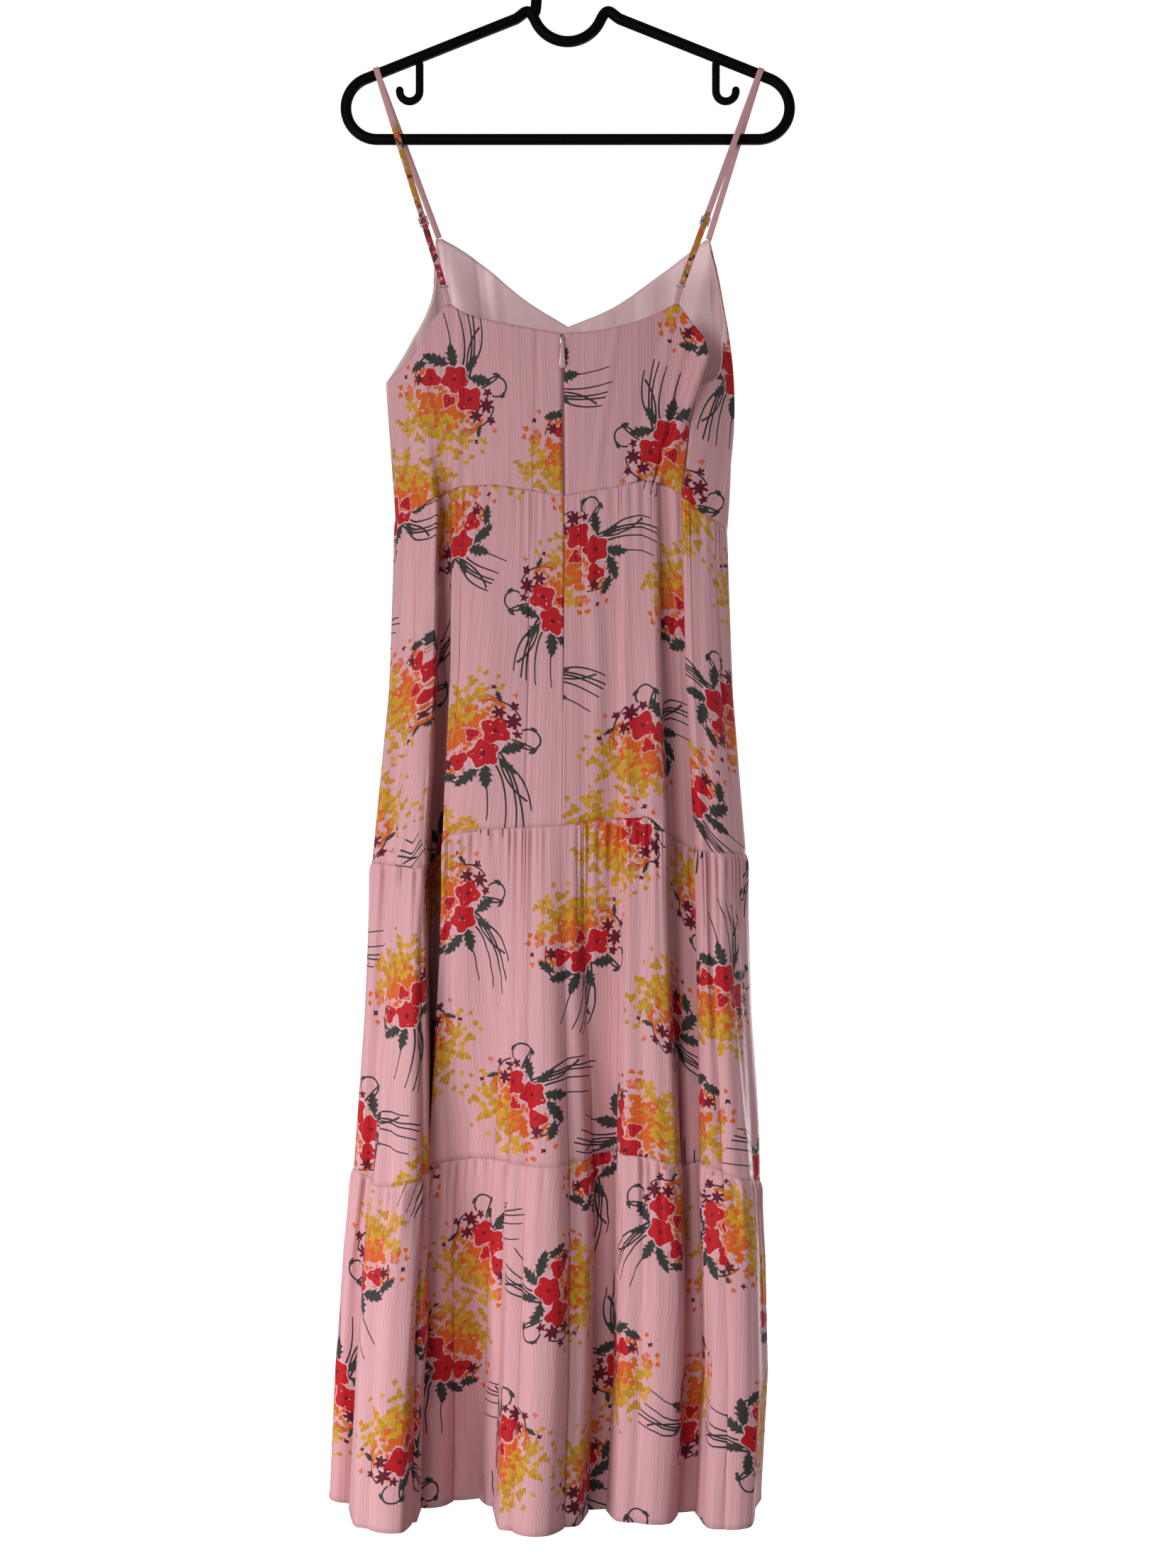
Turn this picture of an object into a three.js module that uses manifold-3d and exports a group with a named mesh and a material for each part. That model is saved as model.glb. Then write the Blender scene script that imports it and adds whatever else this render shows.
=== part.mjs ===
// A strappy maxi dress in three gathered tiers, hanging from a plain plastic hanger.
// Millimetres, +Z up. The zipped back of the dress faces -Y, and +X is to the right from there.
// The origin is the highest point inside the hanger's hook, where a rail carries it.
import * as THREE from 'three';
import { mergeVertices } from 'three/addons/utils/BufferGeometryUtils.js';
import Module from 'manifold-3d';

// Driving dimensions
const CLOTH = 1.2;
const SEAM_GAP = 0.3;
const RING_POWER = 2.4;

const HANGER = {
  barRadius: 5,
  barSides: 8,
  loopX: 176,
  loopZ: -175.4,
  loopRadius: 29,
  shoulderAngle: 21.7,
  shoulderEndX: 50,
  dipHalfWidth: 30,
  dipRadius: 33,
  dipBottomZ: -114,
  dipReach: 18,
  shoulderReach: 10,
  hookX: 28.8,
  hookFootX: 39.5,
  hookFootZ: -80.3,
  hookBendZ: -68,
  hookTipAngle: -25,
  notchX: 136.9,
  notchRadius: 9.2,
  notchBarRadius: 3.6,
  notchTopZ: -135.7,
  notchArcZ: -160,
  notchTipZ: -155.5,
};

const STRAP = {
  width: 4.6,
  thick: 1,
  tabWidth: 5,
  ringRadius: 4,
  ringWire: 0.6,
  ringY: -31,
  strapFold: 3.1,
  tabFold: 2.55,
  tabStraight: 2.6,
  foldHalfGap: 1.4,
  frontY: 20.6,
  neckY: -34.3,
  sliderShare: 0.3,
  sliderHalfGap: 0.65,
  sliderWire: 1.2,
  sliderHeight: 8,
  tailReach: 3,
};

// Where each strap crosses the hanger and meets the dress's front point, its ring and the back neck.
const NECK_Z = -364.7;
const STRAP_ROWS = [
  { side: 'left', barX: -175.5, frontX: -120.4, frontZ: -290.4, ringX: -112.5, ringZ: -347.3, neckX: -107.6 },
  { side: 'right', barX: 177, frontX: 131.2, frontZ: -291.9, ringX: 103.5, ringZ: -346.9, neckX: 98.9 },
];

const ZIP = {
  tapeWidth: 3.2,
  tapeThick: 1,
  chainDrop: 1,
  chainLevels: [0, 0.15, 0.3, 0.45, 0.62],
  sliderTopZ: -395.8,
  sliderHeight: 9,
  sliderWidth: 4.6,
  sliderThick: 1.2,
  pullDrop: 4,
  pullLength: 25,
  pullWidth: 6,
  pullThick: 1,
};

// Shares of the waist's width, from the left, where the back panels meet.
const CENTRE_BACK = 0.51;
const SIDE_SEAM = 0.86;

// Columns of cloth round the skirt, two to each gather: back left, back right and front.
const COLUMNS = { backLeft: 36, backRight: 24, front: 84 };

// Half widths and depths of the skirt ring at each level: 0 is the waist seam, 3 the hem.
const SKIRT_SECTIONS = [
  { level: 0.0, left: -158.5, right: 146.5, near: 42, far: 38 },
  { level: 0.5, left: -164.5, right: 152.0, near: 45, far: 42 },
  { level: 1.0, left: -180.0, right: 164.0, near: 46, far: 46 },
  { level: 1.5, left: -187.0, right: 168.5, near: 46, far: 50 },
  { level: 2.0, left: -197.0, right: 177.0, near: 46, far: 54 },
  { level: 2.25, left: -206.0, right: 182.0, near: 46, far: 57 },
  { level: 2.6, left: -214.0, right: 184.5, near: 46, far: 60 },
  { level: 3.0, left: -219.5, right: 178.0, near: 46, far: 64 },
];

// Near folds from left to right: share of the width at the waist and at the hem, then how far
// the cloth stands out from the ring at the waist, the two tier seams and the hem.
const NEAR_FOLDS = [
  { top: 0.000, low: 0.000, rise: [0, 0, 0, 0] },
  { top: 0.040, low: 0.065, rise: [-2, -6, -8, -14] },
  { top: 0.070, low: 0.105, rise: [0, 5, 18, 34] },
  { top: 0.125, low: 0.155, rise: [0, 7, 23, 40] },
  { top: 0.147, low: 0.178, rise: [0, 3, 4, 8] },
  { top: 0.165, low: 0.192, rise: [-9, -33, -40, -50] },
  { top: 0.182, low: 0.208, rise: [-9, -31, -37, -48] },
  { top: 0.202, low: 0.228, rise: [-1, -4, -22, -32] },
  { top: 0.245, low: 0.285, rise: [0, 0, -24, -56] },
  { top: 0.330, low: 0.355, rise: [0, 2, -22, -64] },
  { top: 0.385, low: 0.400, rise: [0, 2, -10, -40] },
  { top: 0.415, low: 0.428, rise: [0, 2, 8, 22] },
  { top: 0.465, low: 0.480, rise: [0, 3, 20, 37] },
  { top: 0.525, low: 0.545, rise: [0, 2, 4, 12] },
  { top: 0.575, low: 0.585, rise: [0, 0, -18, -33] },
  { top: 0.655, low: 0.655, rise: [0, -4, -20, -34] },
  { top: 0.690, low: 0.695, rise: [0, 7, 8, 4] },
  { top: 0.740, low: 0.750, rise: [0, 10, 13, 12] },
  { top: 0.778, low: 0.790, rise: [-5, -15, -16, -16] },
  { top: 0.845, low: 0.862, rise: [-2, -5, -4, -18] },
  { top: 0.885, low: 0.900, rise: [0, 2, 22, 36] },
  { top: 0.930, low: 0.940, rise: [2, 6, 32, 46] },
  { top: 1.000, low: 1.000, rise: [0, 0, 0, 0] },
];

// Far folds, the same way and again from left to right.
const FAR_FOLDS = [
  { top: 0.00, low: 0.00, rise: [0, 0, 0, 0] },
  { top: 0.10, low: 0.11, rise: [0, 5, 12, 16] },
  { top: 0.19, low: 0.20, rise: [-3, -12, -18, -21] },
  { top: 0.30, low: 0.29, rise: [0, 4, 10, 13] },
  { top: 0.42, low: 0.43, rise: [-2, -8, -12, -14] },
  { top: 0.53, low: 0.54, rise: [0, 5, 12, 16] },
  { top: 0.64, low: 0.66, rise: [-3, -11, -17, -22] },
  { top: 0.76, low: 0.77, rise: [0, 5, 12, 15] },
  { top: 0.88, low: 0.88, rise: [-3, -9, -12, -14] },
  { top: 1.00, low: 1.00, rise: [0, 0, 0, 0] },
];

// Heights of the waist seam, the two tier seams and the hem, by share of the width.
const NEAR_HEIGHTS = [
  { share: 0.00, z: [-556, -872, -1154, -1457] },
  { share: 0.06, z: [-551, -874, -1163, -1462] },
  { share: 0.12, z: [-541, -876, -1162, -1466] },
  { share: 0.15, z: [-534, -874, -1157, -1466] },
  { share: 0.21, z: [-530, -846, -1147, -1466] },
  { share: 0.30, z: [-529, -841, -1142, -1466] },
  { share: 0.51, z: [-539, -837, -1142, -1467] },
  { share: 0.66, z: [-531, -831, -1133, -1466] },
  { share: 0.74, z: [-525, -830, -1137, -1466] },
  { share: 0.81, z: [-527, -852, -1148, -1466] },
  { share: 0.86, z: [-537, -860, -1142, -1466] },
  { share: 0.92, z: [-553, -862, -1150, -1465] },
  { share: 1.00, z: [-567, -865, -1166, -1459] },
];
const FAR_HEIGHTS = [
  { share: 0.00, z: [-556, -872, -1154, -1457] },
  { share: 0.50, z: [-550, -862, -1152, -1462] },
  { share: 1.00, z: [-567, -865, -1166, -1459] },
];

// Gathers of each tier: columns to a gather and its depth, then the rows of cloth down the tier
// and the share of that depth left at each row.
const TIERS = [
  { name: 'tier_1', columns: 6, depth: 1.6, down: [0, 0.12, 0.4, 0.72, 1], gathered: [0.15, 1, 0.4, 0, 0] },
  { name: 'tier_2', columns: 2, depth: 1.8, down: [0, 0.08, 0.32, 0.64, 1], gathered: [0.15, 1, 0.4, 0.1, 0] },
  { name: 'tier_3', columns: 2, depth: 1.8, down: [0, 0.07, 0.27, 0.62, 1], gathered: [0.15, 1, 0.4, 0.1, 0] },
];

// Corners that neighbouring runs of the bodice's top edge share, as [x, y, z].
const CORNERS = {
  underarmLeft: [-167.7, 0, -429.7],
  underarmRight: [114.3, -34, -438],
  backPointLeftOut: [-110.6, -34, -365],
  backPointLeftIn: [-104.6, -34.5, -365],
  centreBack: [-4.6, -44, -392.6],
  backPointRightIn: [95.9, -34.5, -365],
  backPointRightOut: [101.9, -34, -365],
  frontPointRightOut: [133.9, 20, -293],
  frontPointRightIn: [128.5, 21, -293],
  neckLow: [0, 41, -369],
  frontPointLeftIn: [-117.7, 21, -291.5],
  frontPointLeftOut: [-123.1, 20, -291.5],
};

// Top edges of the bodice. Each run is shared out over its own number of columns and goes from
// one corner to the next through the points between them.
const BACK_LEFT_TOP = [
  {
    columns: 7,
    from: 'underarmLeft',
    to: 'backPointLeftOut',
    between: [[-146, -21, -411], [-134, -28, -401], [-124, -32, -381]],
  },
  { columns: 1, from: 'backPointLeftOut', to: 'backPointLeftIn', between: [] },
  {
    columns: 10,
    from: 'backPointLeftIn',
    to: 'centreBack',
    between: [[-93, -36, -372.5], [-58, -41, -382.5]],
  },
];
const BACK_RIGHT_TOP = [
  {
    columns: 7,
    from: 'centreBack',
    to: 'backPointRightIn',
    between: [[30, -43.5, -389.5], [68, -40, -379]],
  },
  { columns: 1, from: 'backPointRightIn', to: 'backPointRightOut', between: [] },
  {
    columns: 4,
    from: 'backPointRightOut',
    to: 'underarmRight',
    between: [[110.5, -33.4, -383], [114, -33.4, -404]],
  },
];
const FRONT_TOP = [
  {
    columns: 10,
    from: 'underarmRight',
    to: 'frontPointRightOut',
    between: [[138, -20, -427], [145, -6, -395], [141, 4, -345]],
  },
  { columns: 1, from: 'frontPointRightOut', to: 'frontPointRightIn', between: [] },
  { columns: 11, from: 'frontPointRightIn', to: 'neckLow', between: [[93, 31, -318], [42, 38, -352]] },
  { columns: 11, from: 'neckLow', to: 'frontPointLeftIn', between: [[-40, 38, -345], [-81, 31, -313]] },
  { columns: 1, from: 'frontPointLeftIn', to: 'frontPointLeftOut', between: [] },
  {
    columns: 8,
    from: 'frontPointLeftOut',
    to: 'underarmLeft',
    between: [[-127, 15, -345], [-146, 5, -393]],
  },
];
const BODICE_ROWS = [0, 0.12, 0.35, 0.6, 0.82, 1];
const BUST_RISE = 9;

const MATERIALS = {
  print: new THREE.MeshStandardMaterial({ color: 0xebb6ba, roughness: 0.75, metalness: 0 }),
  lining: new THREE.MeshStandardMaterial({ color: 0xcda5a8, roughness: 0.55, metalness: 0 }),
  steel: new THREE.MeshStandardMaterial({ color: 0xc8c8cc, roughness: 0.25, metalness: 1 }),
  zip: new THREE.MeshStandardMaterial({ color: 0xe0a0a8, roughness: 0.45, metalness: 0 }),
  hanger: new THREE.MeshStandardMaterial({ color: 0x141414, roughness: 0.35, metalness: 0 }),
};

const dress = new THREE.Group();
const wasm = await Module();
wasm.setup();

function addMesh(name, geometry, material) {
  const mesh = new THREE.Mesh(geometry, material);
  mesh.name = name;
  dress.add(mesh);
  return mesh;
}

const mix = THREE.MathUtils.lerp;
const radians = THREE.MathUtils.degToRad;

// Index and blend of the table rows on either side of a value.
function findRows(values, value) {
  const last = values.length - 2;
  let row = 0;
  while (row < last && value > values[row + 1]) {
    row += 1;
  }
  const blend = (value - values[row]) / (values[row + 1] - values[row]);
  return { row, blend: THREE.MathUtils.clamp(blend, 0, 1) };
}

function readTable(values, keys, value) {
  const { row, blend } = findRows(keys, value);
  return mix(values[row], values[row + 1], blend);
}

// Skirt surface: a flattened ring for each level, with the folds standing in and out of it.
// Turn 0 is the left side, 0 to 1 the near half, 1 the right side and 1 to 2 the far half.
const LEVELS = SKIRT_SECTIONS.map((section) => section.level);

function sectionAt(level) {
  const read = (column) => readTable(SKIRT_SECTIONS.map((section) => section[column]), LEVELS, level);
  return { left: read('left'), right: read('right'), near: read('near'), far: read('far') };
}

function byLevel(four, level) {
  return readTable(four, [0, 1, 2, 3], level);
}

function foldRise(folds, share, level) {
  const places = folds.map((fold) => mix(fold.top, fold.low, level / 3));
  const { row, blend } = findRows(places, share);
  const soft = blend * blend * (3 - 2 * blend);
  return mix(byLevel(folds[row].rise, level), byLevel(folds[row + 1].rise, level), soft);
}

function heightAt(heights, share, level) {
  const { row, blend } = findRows(heights.map((entry) => entry.share), share);
  return mix(byLevel(heights[row].z, level), byLevel(heights[row + 1].z, level), blend);
}

function skirtPoint(turn, level) {
  const wrapped = THREE.MathUtils.euclideanModulo(turn, 2);
  const held = THREE.MathUtils.clamp(level, 0, 3);
  const across = Math.cos(wrapped * Math.PI);
  const around = Math.sin(wrapped * Math.PI);
  const bend = 2 / RING_POWER;
  const share = (1 - Math.sign(across) * Math.abs(across) ** bend) / 2;
  const isNear = around >= 0;
  const ring = sectionAt(held);
  const rise = foldRise(isNear ? NEAR_FOLDS : FAR_FOLDS, share, held);
  const depth = (isNear ? ring.near : ring.far) * Math.abs(around) ** bend + rise;
  const height = heightAt(isNear ? NEAR_HEIGHTS : FAR_HEIGHTS, share, held);
  return new THREE.Vector3(mix(ring.left, ring.right, share), isNear ? -depth : depth, height);
}

function skirtNormal(turn, level, isEdge) {
  const along = skirtPoint(turn + 0.004, level).sub(skirtPoint(turn - 0.004, level));
  const down = skirtPoint(turn, Math.min(level + 0.02, 3)).sub(skirtPoint(turn, Math.max(level - 0.02, 0)));
  const normal = down.cross(along);
  if (isEdge) {
    normal.set(-along.y, along.x, 0).multiplyScalar(-1);
  }
  return normal.normalize();
}

function turnOfShare(share) {
  const across = 1 - 2 * share;
  return Math.acos(Math.sign(across) * Math.abs(across) ** (RING_POWER / 2)) / Math.PI;
}

// Turns that cut a stretch of the ring into equal lengths of cloth, measured at one level.
const MEASURE_LEVEL = 2.3;
const MEASURE_STEPS = 900;

function evenTurns(fromTurn, toTurn, count) {
  const steps = Array.from({ length: MEASURE_STEPS + 1 }, (_, step) => step);
  const turns = steps.map((step) => mix(fromTurn, toTurn, step / MEASURE_STEPS));
  const stops = turns.map((turn) => skirtPoint(turn, MEASURE_LEVEL));
  const lengths = [0];
  for (let step = 1; step <= MEASURE_STEPS; step += 1) {
    lengths.push(lengths[step - 1] + stops[step].distanceTo(stops[step - 1]));
  }
  const shareOut = (column) => readTable(turns, lengths, (lengths[MEASURE_STEPS] * column) / count);
  return Array.from({ length: count + 1 }, (_, column) => shareOut(column));
}

const backTurn = turnOfShare(CENTRE_BACK);
const sideTurn = turnOfShare(SIDE_SEAM);
const TURNS = {
  backLeft: evenTurns(0, backTurn, COLUMNS.backLeft),
  backRight: evenTurns(backTurn, sideTurn, COLUMNS.backRight),
  front: evenTurns(sideTurn, 2, COLUMNS.front),
};

// Closed wall of cloth about a grid of middle points, trimmed half a seam gap at its four edges.
function clothWall(points, normals, thick = CLOTH, offset = 0) {
  const rows = points.length;
  const columns = points[0].length;
  const trimmed = points.map((row) => row.map((point) => point.clone()));
  const pull = (point, towards) => {
    const step = towards.clone().sub(point);
    point.addScaledVector(step.normalize(), SEAM_GAP / 2);
  };
  for (let row = 0; row < rows; row += 1) {
    pull(trimmed[row][0], points[row][1]);
    pull(trimmed[row][columns - 1], points[row][columns - 2]);
  }
  for (let column = 0; column < columns; column += 1) {
    trimmed[0][column].z -= SEAM_GAP / 2;
    trimmed[rows - 1][column].z += SEAM_GAP / 2;
  }
  const positions = [];
  [offset + thick / 2, offset - thick / 2].forEach((reach) => {
    trimmed.forEach((row, r) => {
      row.forEach((point, c) => {
        positions.push(...point.clone().addScaledVector(normals[r][c], reach).toArray());
      });
    });
  });
  const outer = (row, column) => row * columns + column;
  const inner = (row, column) => rows * columns + outer(row, column);
  const faces = [];
  const quad = (a, b, c, d) => faces.push(a, b, c, a, c, d);
  for (let row = 0; row < rows - 1; row += 1) {
    for (let column = 0; column < columns - 1; column += 1) {
      quad(outer(row, column), outer(row + 1, column), outer(row + 1, column + 1), outer(row, column + 1));
      quad(inner(row, column), inner(row, column + 1), inner(row + 1, column + 1), inner(row + 1, column));
    }
    quad(outer(row, 0), inner(row, 0), inner(row + 1, 0), outer(row + 1, 0));
    const end = columns - 1;
    quad(outer(row, end), outer(row + 1, end), inner(row + 1, end), inner(row, end));
  }
  for (let column = 0; column < columns - 1; column += 1) {
    const foot = rows - 1;
    quad(outer(0, column), outer(0, column + 1), inner(0, column + 1), inner(0, column));
    quad(outer(foot, column), inner(foot, column), inner(foot, column + 1), outer(foot, column + 1));
  }
  const geometry = new THREE.BufferGeometry();
  geometry.setAttribute('position', new THREE.Float32BufferAttribute(positions, 3));
  geometry.setIndex(faces);
  return facingOut(geometry);
}

// Turns a closed mesh right side out when its volume comes out negative.
function facingOut(geometry) {
  const spot = geometry.getAttribute('position');
  const index = geometry.getIndex();
  const corner = (place) => new THREE.Vector3().fromBufferAttribute(spot, index.getX(place));
  let volume = 0;
  for (let face = 0; face < index.count; face += 3) {
    volume += corner(face).dot(corner(face + 1).cross(corner(face + 2)));
  }
  if (volume < 0) {
    for (let face = 0; face < index.count; face += 3) {
      const second = index.getX(face + 1);
      index.setX(face + 1, index.getX(face + 2));
      index.setX(face + 2, second);
    }
  }
  geometry.computeVertexNormals();
  return geometry;
}

// Skirt tiers
function gatherAt(column, spread, turn) {
  const wave = spread === 2 ? 1 - 2 * (column % 2) : Math.sin((2 * Math.PI * column) / spread);
  const nearZip = Math.min(1, Math.abs(turn - backTurn) / 0.05);
  return wave * nearZip;
}

// The bodice has half as many columns, so the waist runs straight between every other one.
function waistPoint(turns, column) {
  if (column % 2 === 0) {
    return skirtPoint(turns[column], 0);
  }
  return skirtPoint(turns[column - 1], 0).lerp(skirtPoint(turns[column + 1], 0), 0.5);
}

function tierPanel(tier, tierIndex, turns) {
  const points = [];
  const normals = [];
  tier.down.forEach((down, row) => {
    const level = tierIndex + down;
    const rowNormals = turns.map((turn) => skirtNormal(turn, level, down === 0 || down === 1));
    const isWaist = level === 0;
    const rowPoints = turns.map((turn, column) => {
      const reach = gatherAt(column, tier.columns, turn) * tier.depth * tier.gathered[row];
      const isEnd = column === 0 || column === turns.length - 1;
      const point = isWaist ? waistPoint(turns, column) : skirtPoint(turn, level);
      return point.addScaledVector(rowNormals[column], isEnd ? 0 : reach);
    });
    points.push(rowPoints);
    normals.push(rowNormals);
  });
  return clothWall(points, normals);
}

TIERS.forEach((tier, index) => {
  const backTurns = TURNS.backLeft.concat(TURNS.backRight.slice(1));
  if (index === 0) {
    addMesh('tier_1_back_left', tierPanel(tier, index, TURNS.backLeft), MATERIALS.print);
    addMesh('tier_1_back_right', tierPanel(tier, index, TURNS.backRight), MATERIALS.print);
  } else {
    addMesh(`${tier.name}_back`, tierPanel(tier, index, backTurns), MATERIALS.print);
  }
  addMesh(`${tier.name}_front`, tierPanel(tier, index, TURNS.front), MATERIALS.print);
});

// Bodice: each panel runs from its top edge down to every other column of the waist seam.
function topEdge(runs) {
  const points = [];
  runs.forEach((run) => {
    const places = [CORNERS[run.from], ...run.between, CORNERS[run.to]];
    const stops = places.map((place) => new THREE.Vector3(...place));
    const spaced = new THREE.CatmullRomCurve3(stops, false, 'centripetal').getSpacedPoints(run.columns);
    points.push(...(points.length ? spaced.slice(1) : spaced));
  });
  return points;
}

function bodiceGrid(runs, turns, bulge) {
  const top = topEdge(runs);
  const foot = turns.filter((_, column) => column % 2 === 0).map((turn) => skirtPoint(turn, 0));
  return BODICE_ROWS.map((down) => top.map((point, column) => {
    const rise = Math.sin(Math.PI * down) * bulge * Math.sin((Math.PI * column) / (top.length - 1));
    const placed = point.clone().lerp(foot[column], down);
    placed.y += rise;
    return placed;
  }));
}

// Normals of a panel's grid; at its side seams they are the ring's own, shared by both panels.
function gridNormals(points, turns) {
  const seamNormals = [skirtNormal(turns[0], 0, true), skirtNormal(turns[turns.length - 1], 0, true)];
  return points.map((row, r) => row.map((_, c) => {
    if (c === 0 || c === row.length - 1) {
      return seamNormals[c === 0 ? 0 : 1];
    }
    const above = points[Math.max(r - 1, 0)][c];
    const below = points[Math.min(r + 1, points.length - 1)][c];
    const before = row[Math.max(c - 1, 0)];
    const after = row[Math.min(c + 1, row.length - 1)];
    return below.clone().sub(above).cross(after.clone().sub(before)).normalize();
  }));
}

const BODICE_PANELS = [
  { name: 'bodice_back_left', top: BACK_LEFT_TOP, turns: TURNS.backLeft, bulge: 0 },
  { name: 'bodice_back_right', top: BACK_RIGHT_TOP, turns: TURNS.backRight, bulge: 0 },
  { name: 'bodice_front', top: FRONT_TOP, turns: TURNS.front, bulge: BUST_RISE },
];
BODICE_PANELS.forEach((panel) => {
  const points = bodiceGrid(panel.top, panel.turns, panel.bulge);
  const normals = gridNormals(points, panel.turns);
  addMesh(panel.name, clothWall(points, normals), MATERIALS.print);
  if (panel.name === 'bodice_front') {
    addMesh('bodice_front_lining', clothWall(points, normals, CLOTH, -(CLOTH + SEAM_GAP)), MATERIALS.lining);
  }
});

// Round bar along a flat path of [x, z] points, closed on itself or with flat ends.
function roundBar(path, radius, sides, closed) {
  const count = path.length;
  const positions = [];
  path.forEach((point, step) => {
    const before = path[closed ? (step + count - 1) % count : Math.max(step - 1, 0)];
    const after = path[closed ? (step + 1) % count : Math.min(step + 1, count - 1)];
    const run = Math.hypot(after.x - before.x, after.y - before.y);
    const sideX = (after.y - before.y) / run;
    const sideZ = -(after.x - before.x) / run;
    for (let side = 0; side < sides; side += 1) {
      const angle = (2 * Math.PI * side) / sides;
      const reach = radius * Math.cos(angle);
      positions.push(point.x + sideX * reach, radius * Math.sin(angle), point.y + sideZ * reach);
    }
  });
  const at = (step, side) => (step % count) * sides + (side % sides);
  const faces = [];
  for (let step = 0; step < (closed ? count : count - 1); step += 1) {
    for (let side = 0; side < sides; side += 1) {
      faces.push(at(step, side), at(step + 1, side), at(step + 1, side + 1));
      faces.push(at(step, side), at(step + 1, side + 1), at(step, side + 1));
    }
  }
  if (!closed) {
    for (let side = 1; side < sides - 1; side += 1) {
      faces.push(at(0, 0), at(0, side), at(0, side + 1));
      faces.push(at(count - 1, 0), at(count - 1, side + 1), at(count - 1, side));
    }
  }
  const geometry = new THREE.BufferGeometry();
  geometry.setAttribute('position', new THREE.Float32BufferAttribute(positions, 3));
  geometry.setIndex(faces);
  return facingOut(geometry);
}

// Hanger: a closed bar with a dip between its shoulders, a hook and two strap notches.
const shoulderSlope = Math.tan(radians(HANGER.shoulderAngle));
const shoulderTop = {
  x: HANGER.loopX + HANGER.loopRadius * Math.sin(radians(HANGER.shoulderAngle)),
  z: HANGER.loopZ + HANGER.loopRadius * Math.cos(radians(HANGER.shoulderAngle)),
};

function shoulderZ(x) {
  return shoulderTop.z + (shoulderTop.x - Math.abs(x)) * shoulderSlope;
}

function hangerPath() {
  const { loopX, loopZ, loopRadius, dipHalfWidth, dipRadius, dipBottomZ } = HANGER;
  const { dipReach, shoulderReach, shoulderEndX } = HANGER;
  const dipCentre = dipBottomZ + dipRadius;
  const dipAngle = Math.asin(dipHalfWidth / dipRadius);
  const tilt = radians(90 - HANGER.shoulderAngle);
  const dipEndZ = dipCentre - dipRadius * Math.cos(dipAngle);
  const riseX = dipHalfWidth + dipReach * Math.cos(dipAngle);
  const riseZ = dipEndZ + dipReach * Math.sin(dipAngle);
  const fallX = shoulderEndX - shoulderReach * Math.sin(tilt);
  const fallZ = shoulderZ(fallX);
  const path = new THREE.Path();
  path.absarc(0, dipCentre, dipRadius, -Math.PI / 2 - dipAngle, -Math.PI / 2 + dipAngle, false);
  path.bezierCurveTo(riseX, riseZ, fallX, fallZ, shoulderEndX, shoulderZ(shoulderEndX));
  path.lineTo(shoulderTop.x, shoulderTop.z);
  path.absarc(loopX, loopZ, loopRadius, tilt, -Math.PI / 2, true);
  path.lineTo(-loopX, loopZ - loopRadius);
  path.absarc(-loopX, loopZ, loopRadius, -Math.PI / 2, -Math.PI - tilt, true);
  path.lineTo(-shoulderEndX, shoulderZ(shoulderEndX));
  path.bezierCurveTo(-fallX, fallZ, -riseX, riseZ, -dipHalfWidth, dipEndZ);
  const points = path.getPoints(5);
  return points.filter((point, index) => index === 0 || point.distanceTo(points[index - 1]) > 0.5)
    .filter((point, index, kept) => index === 0 || point.distanceTo(kept[0]) > 0.5);
}

function hookPath() {
  const path = new THREE.Path();
  const centreZ = HANGER.barRadius - HANGER.hookX;
  const footX = -HANGER.hookFootX;
  const { hookX, hookFootZ, hookBendZ } = HANGER;
  path.moveTo(footX, hookFootZ);
  path.bezierCurveTo(footX, (hookFootZ + hookBendZ) / 2, -hookX, (hookFootZ + hookBendZ) / 2, -hookX, hookBendZ);
  path.lineTo(-hookX, centreZ);
  path.absarc(0, centreZ, HANGER.hookX, Math.PI, radians(HANGER.hookTipAngle), true);
  return path.getPoints(8);
}

function notchPath() {
  const path = new THREE.Path();
  const { notchX, notchTopZ, notchArcZ, notchRadius, notchTipZ } = HANGER;
  path.moveTo(notchX, notchTopZ);
  path.lineTo(notchX, notchArcZ);
  path.absarc(notchX + notchRadius, notchArcZ, notchRadius, Math.PI, 2 * Math.PI, false);
  path.lineTo(notchX + 2 * notchRadius, notchTipZ);
  return path.getPoints(5);
}

addMesh('hanger_frame', roundBar(hangerPath(), HANGER.barRadius, HANGER.barSides, true), MATERIALS.hanger);
addMesh('hanger_hook', roundBar(hookPath(), HANGER.barRadius, HANGER.barSides, false), MATERIALS.hanger);
[-1, 1].forEach((side) => {
  const path = notchPath().map((point) => new THREE.Vector2(point.x * side, point.y));
  const name = side < 0 ? 'hanger_notch_left' : 'hanger_notch_right';
  addMesh(name, roundBar(path, HANGER.notchBarRadius, 6, false), MATERIALS.hanger);
});

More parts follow.
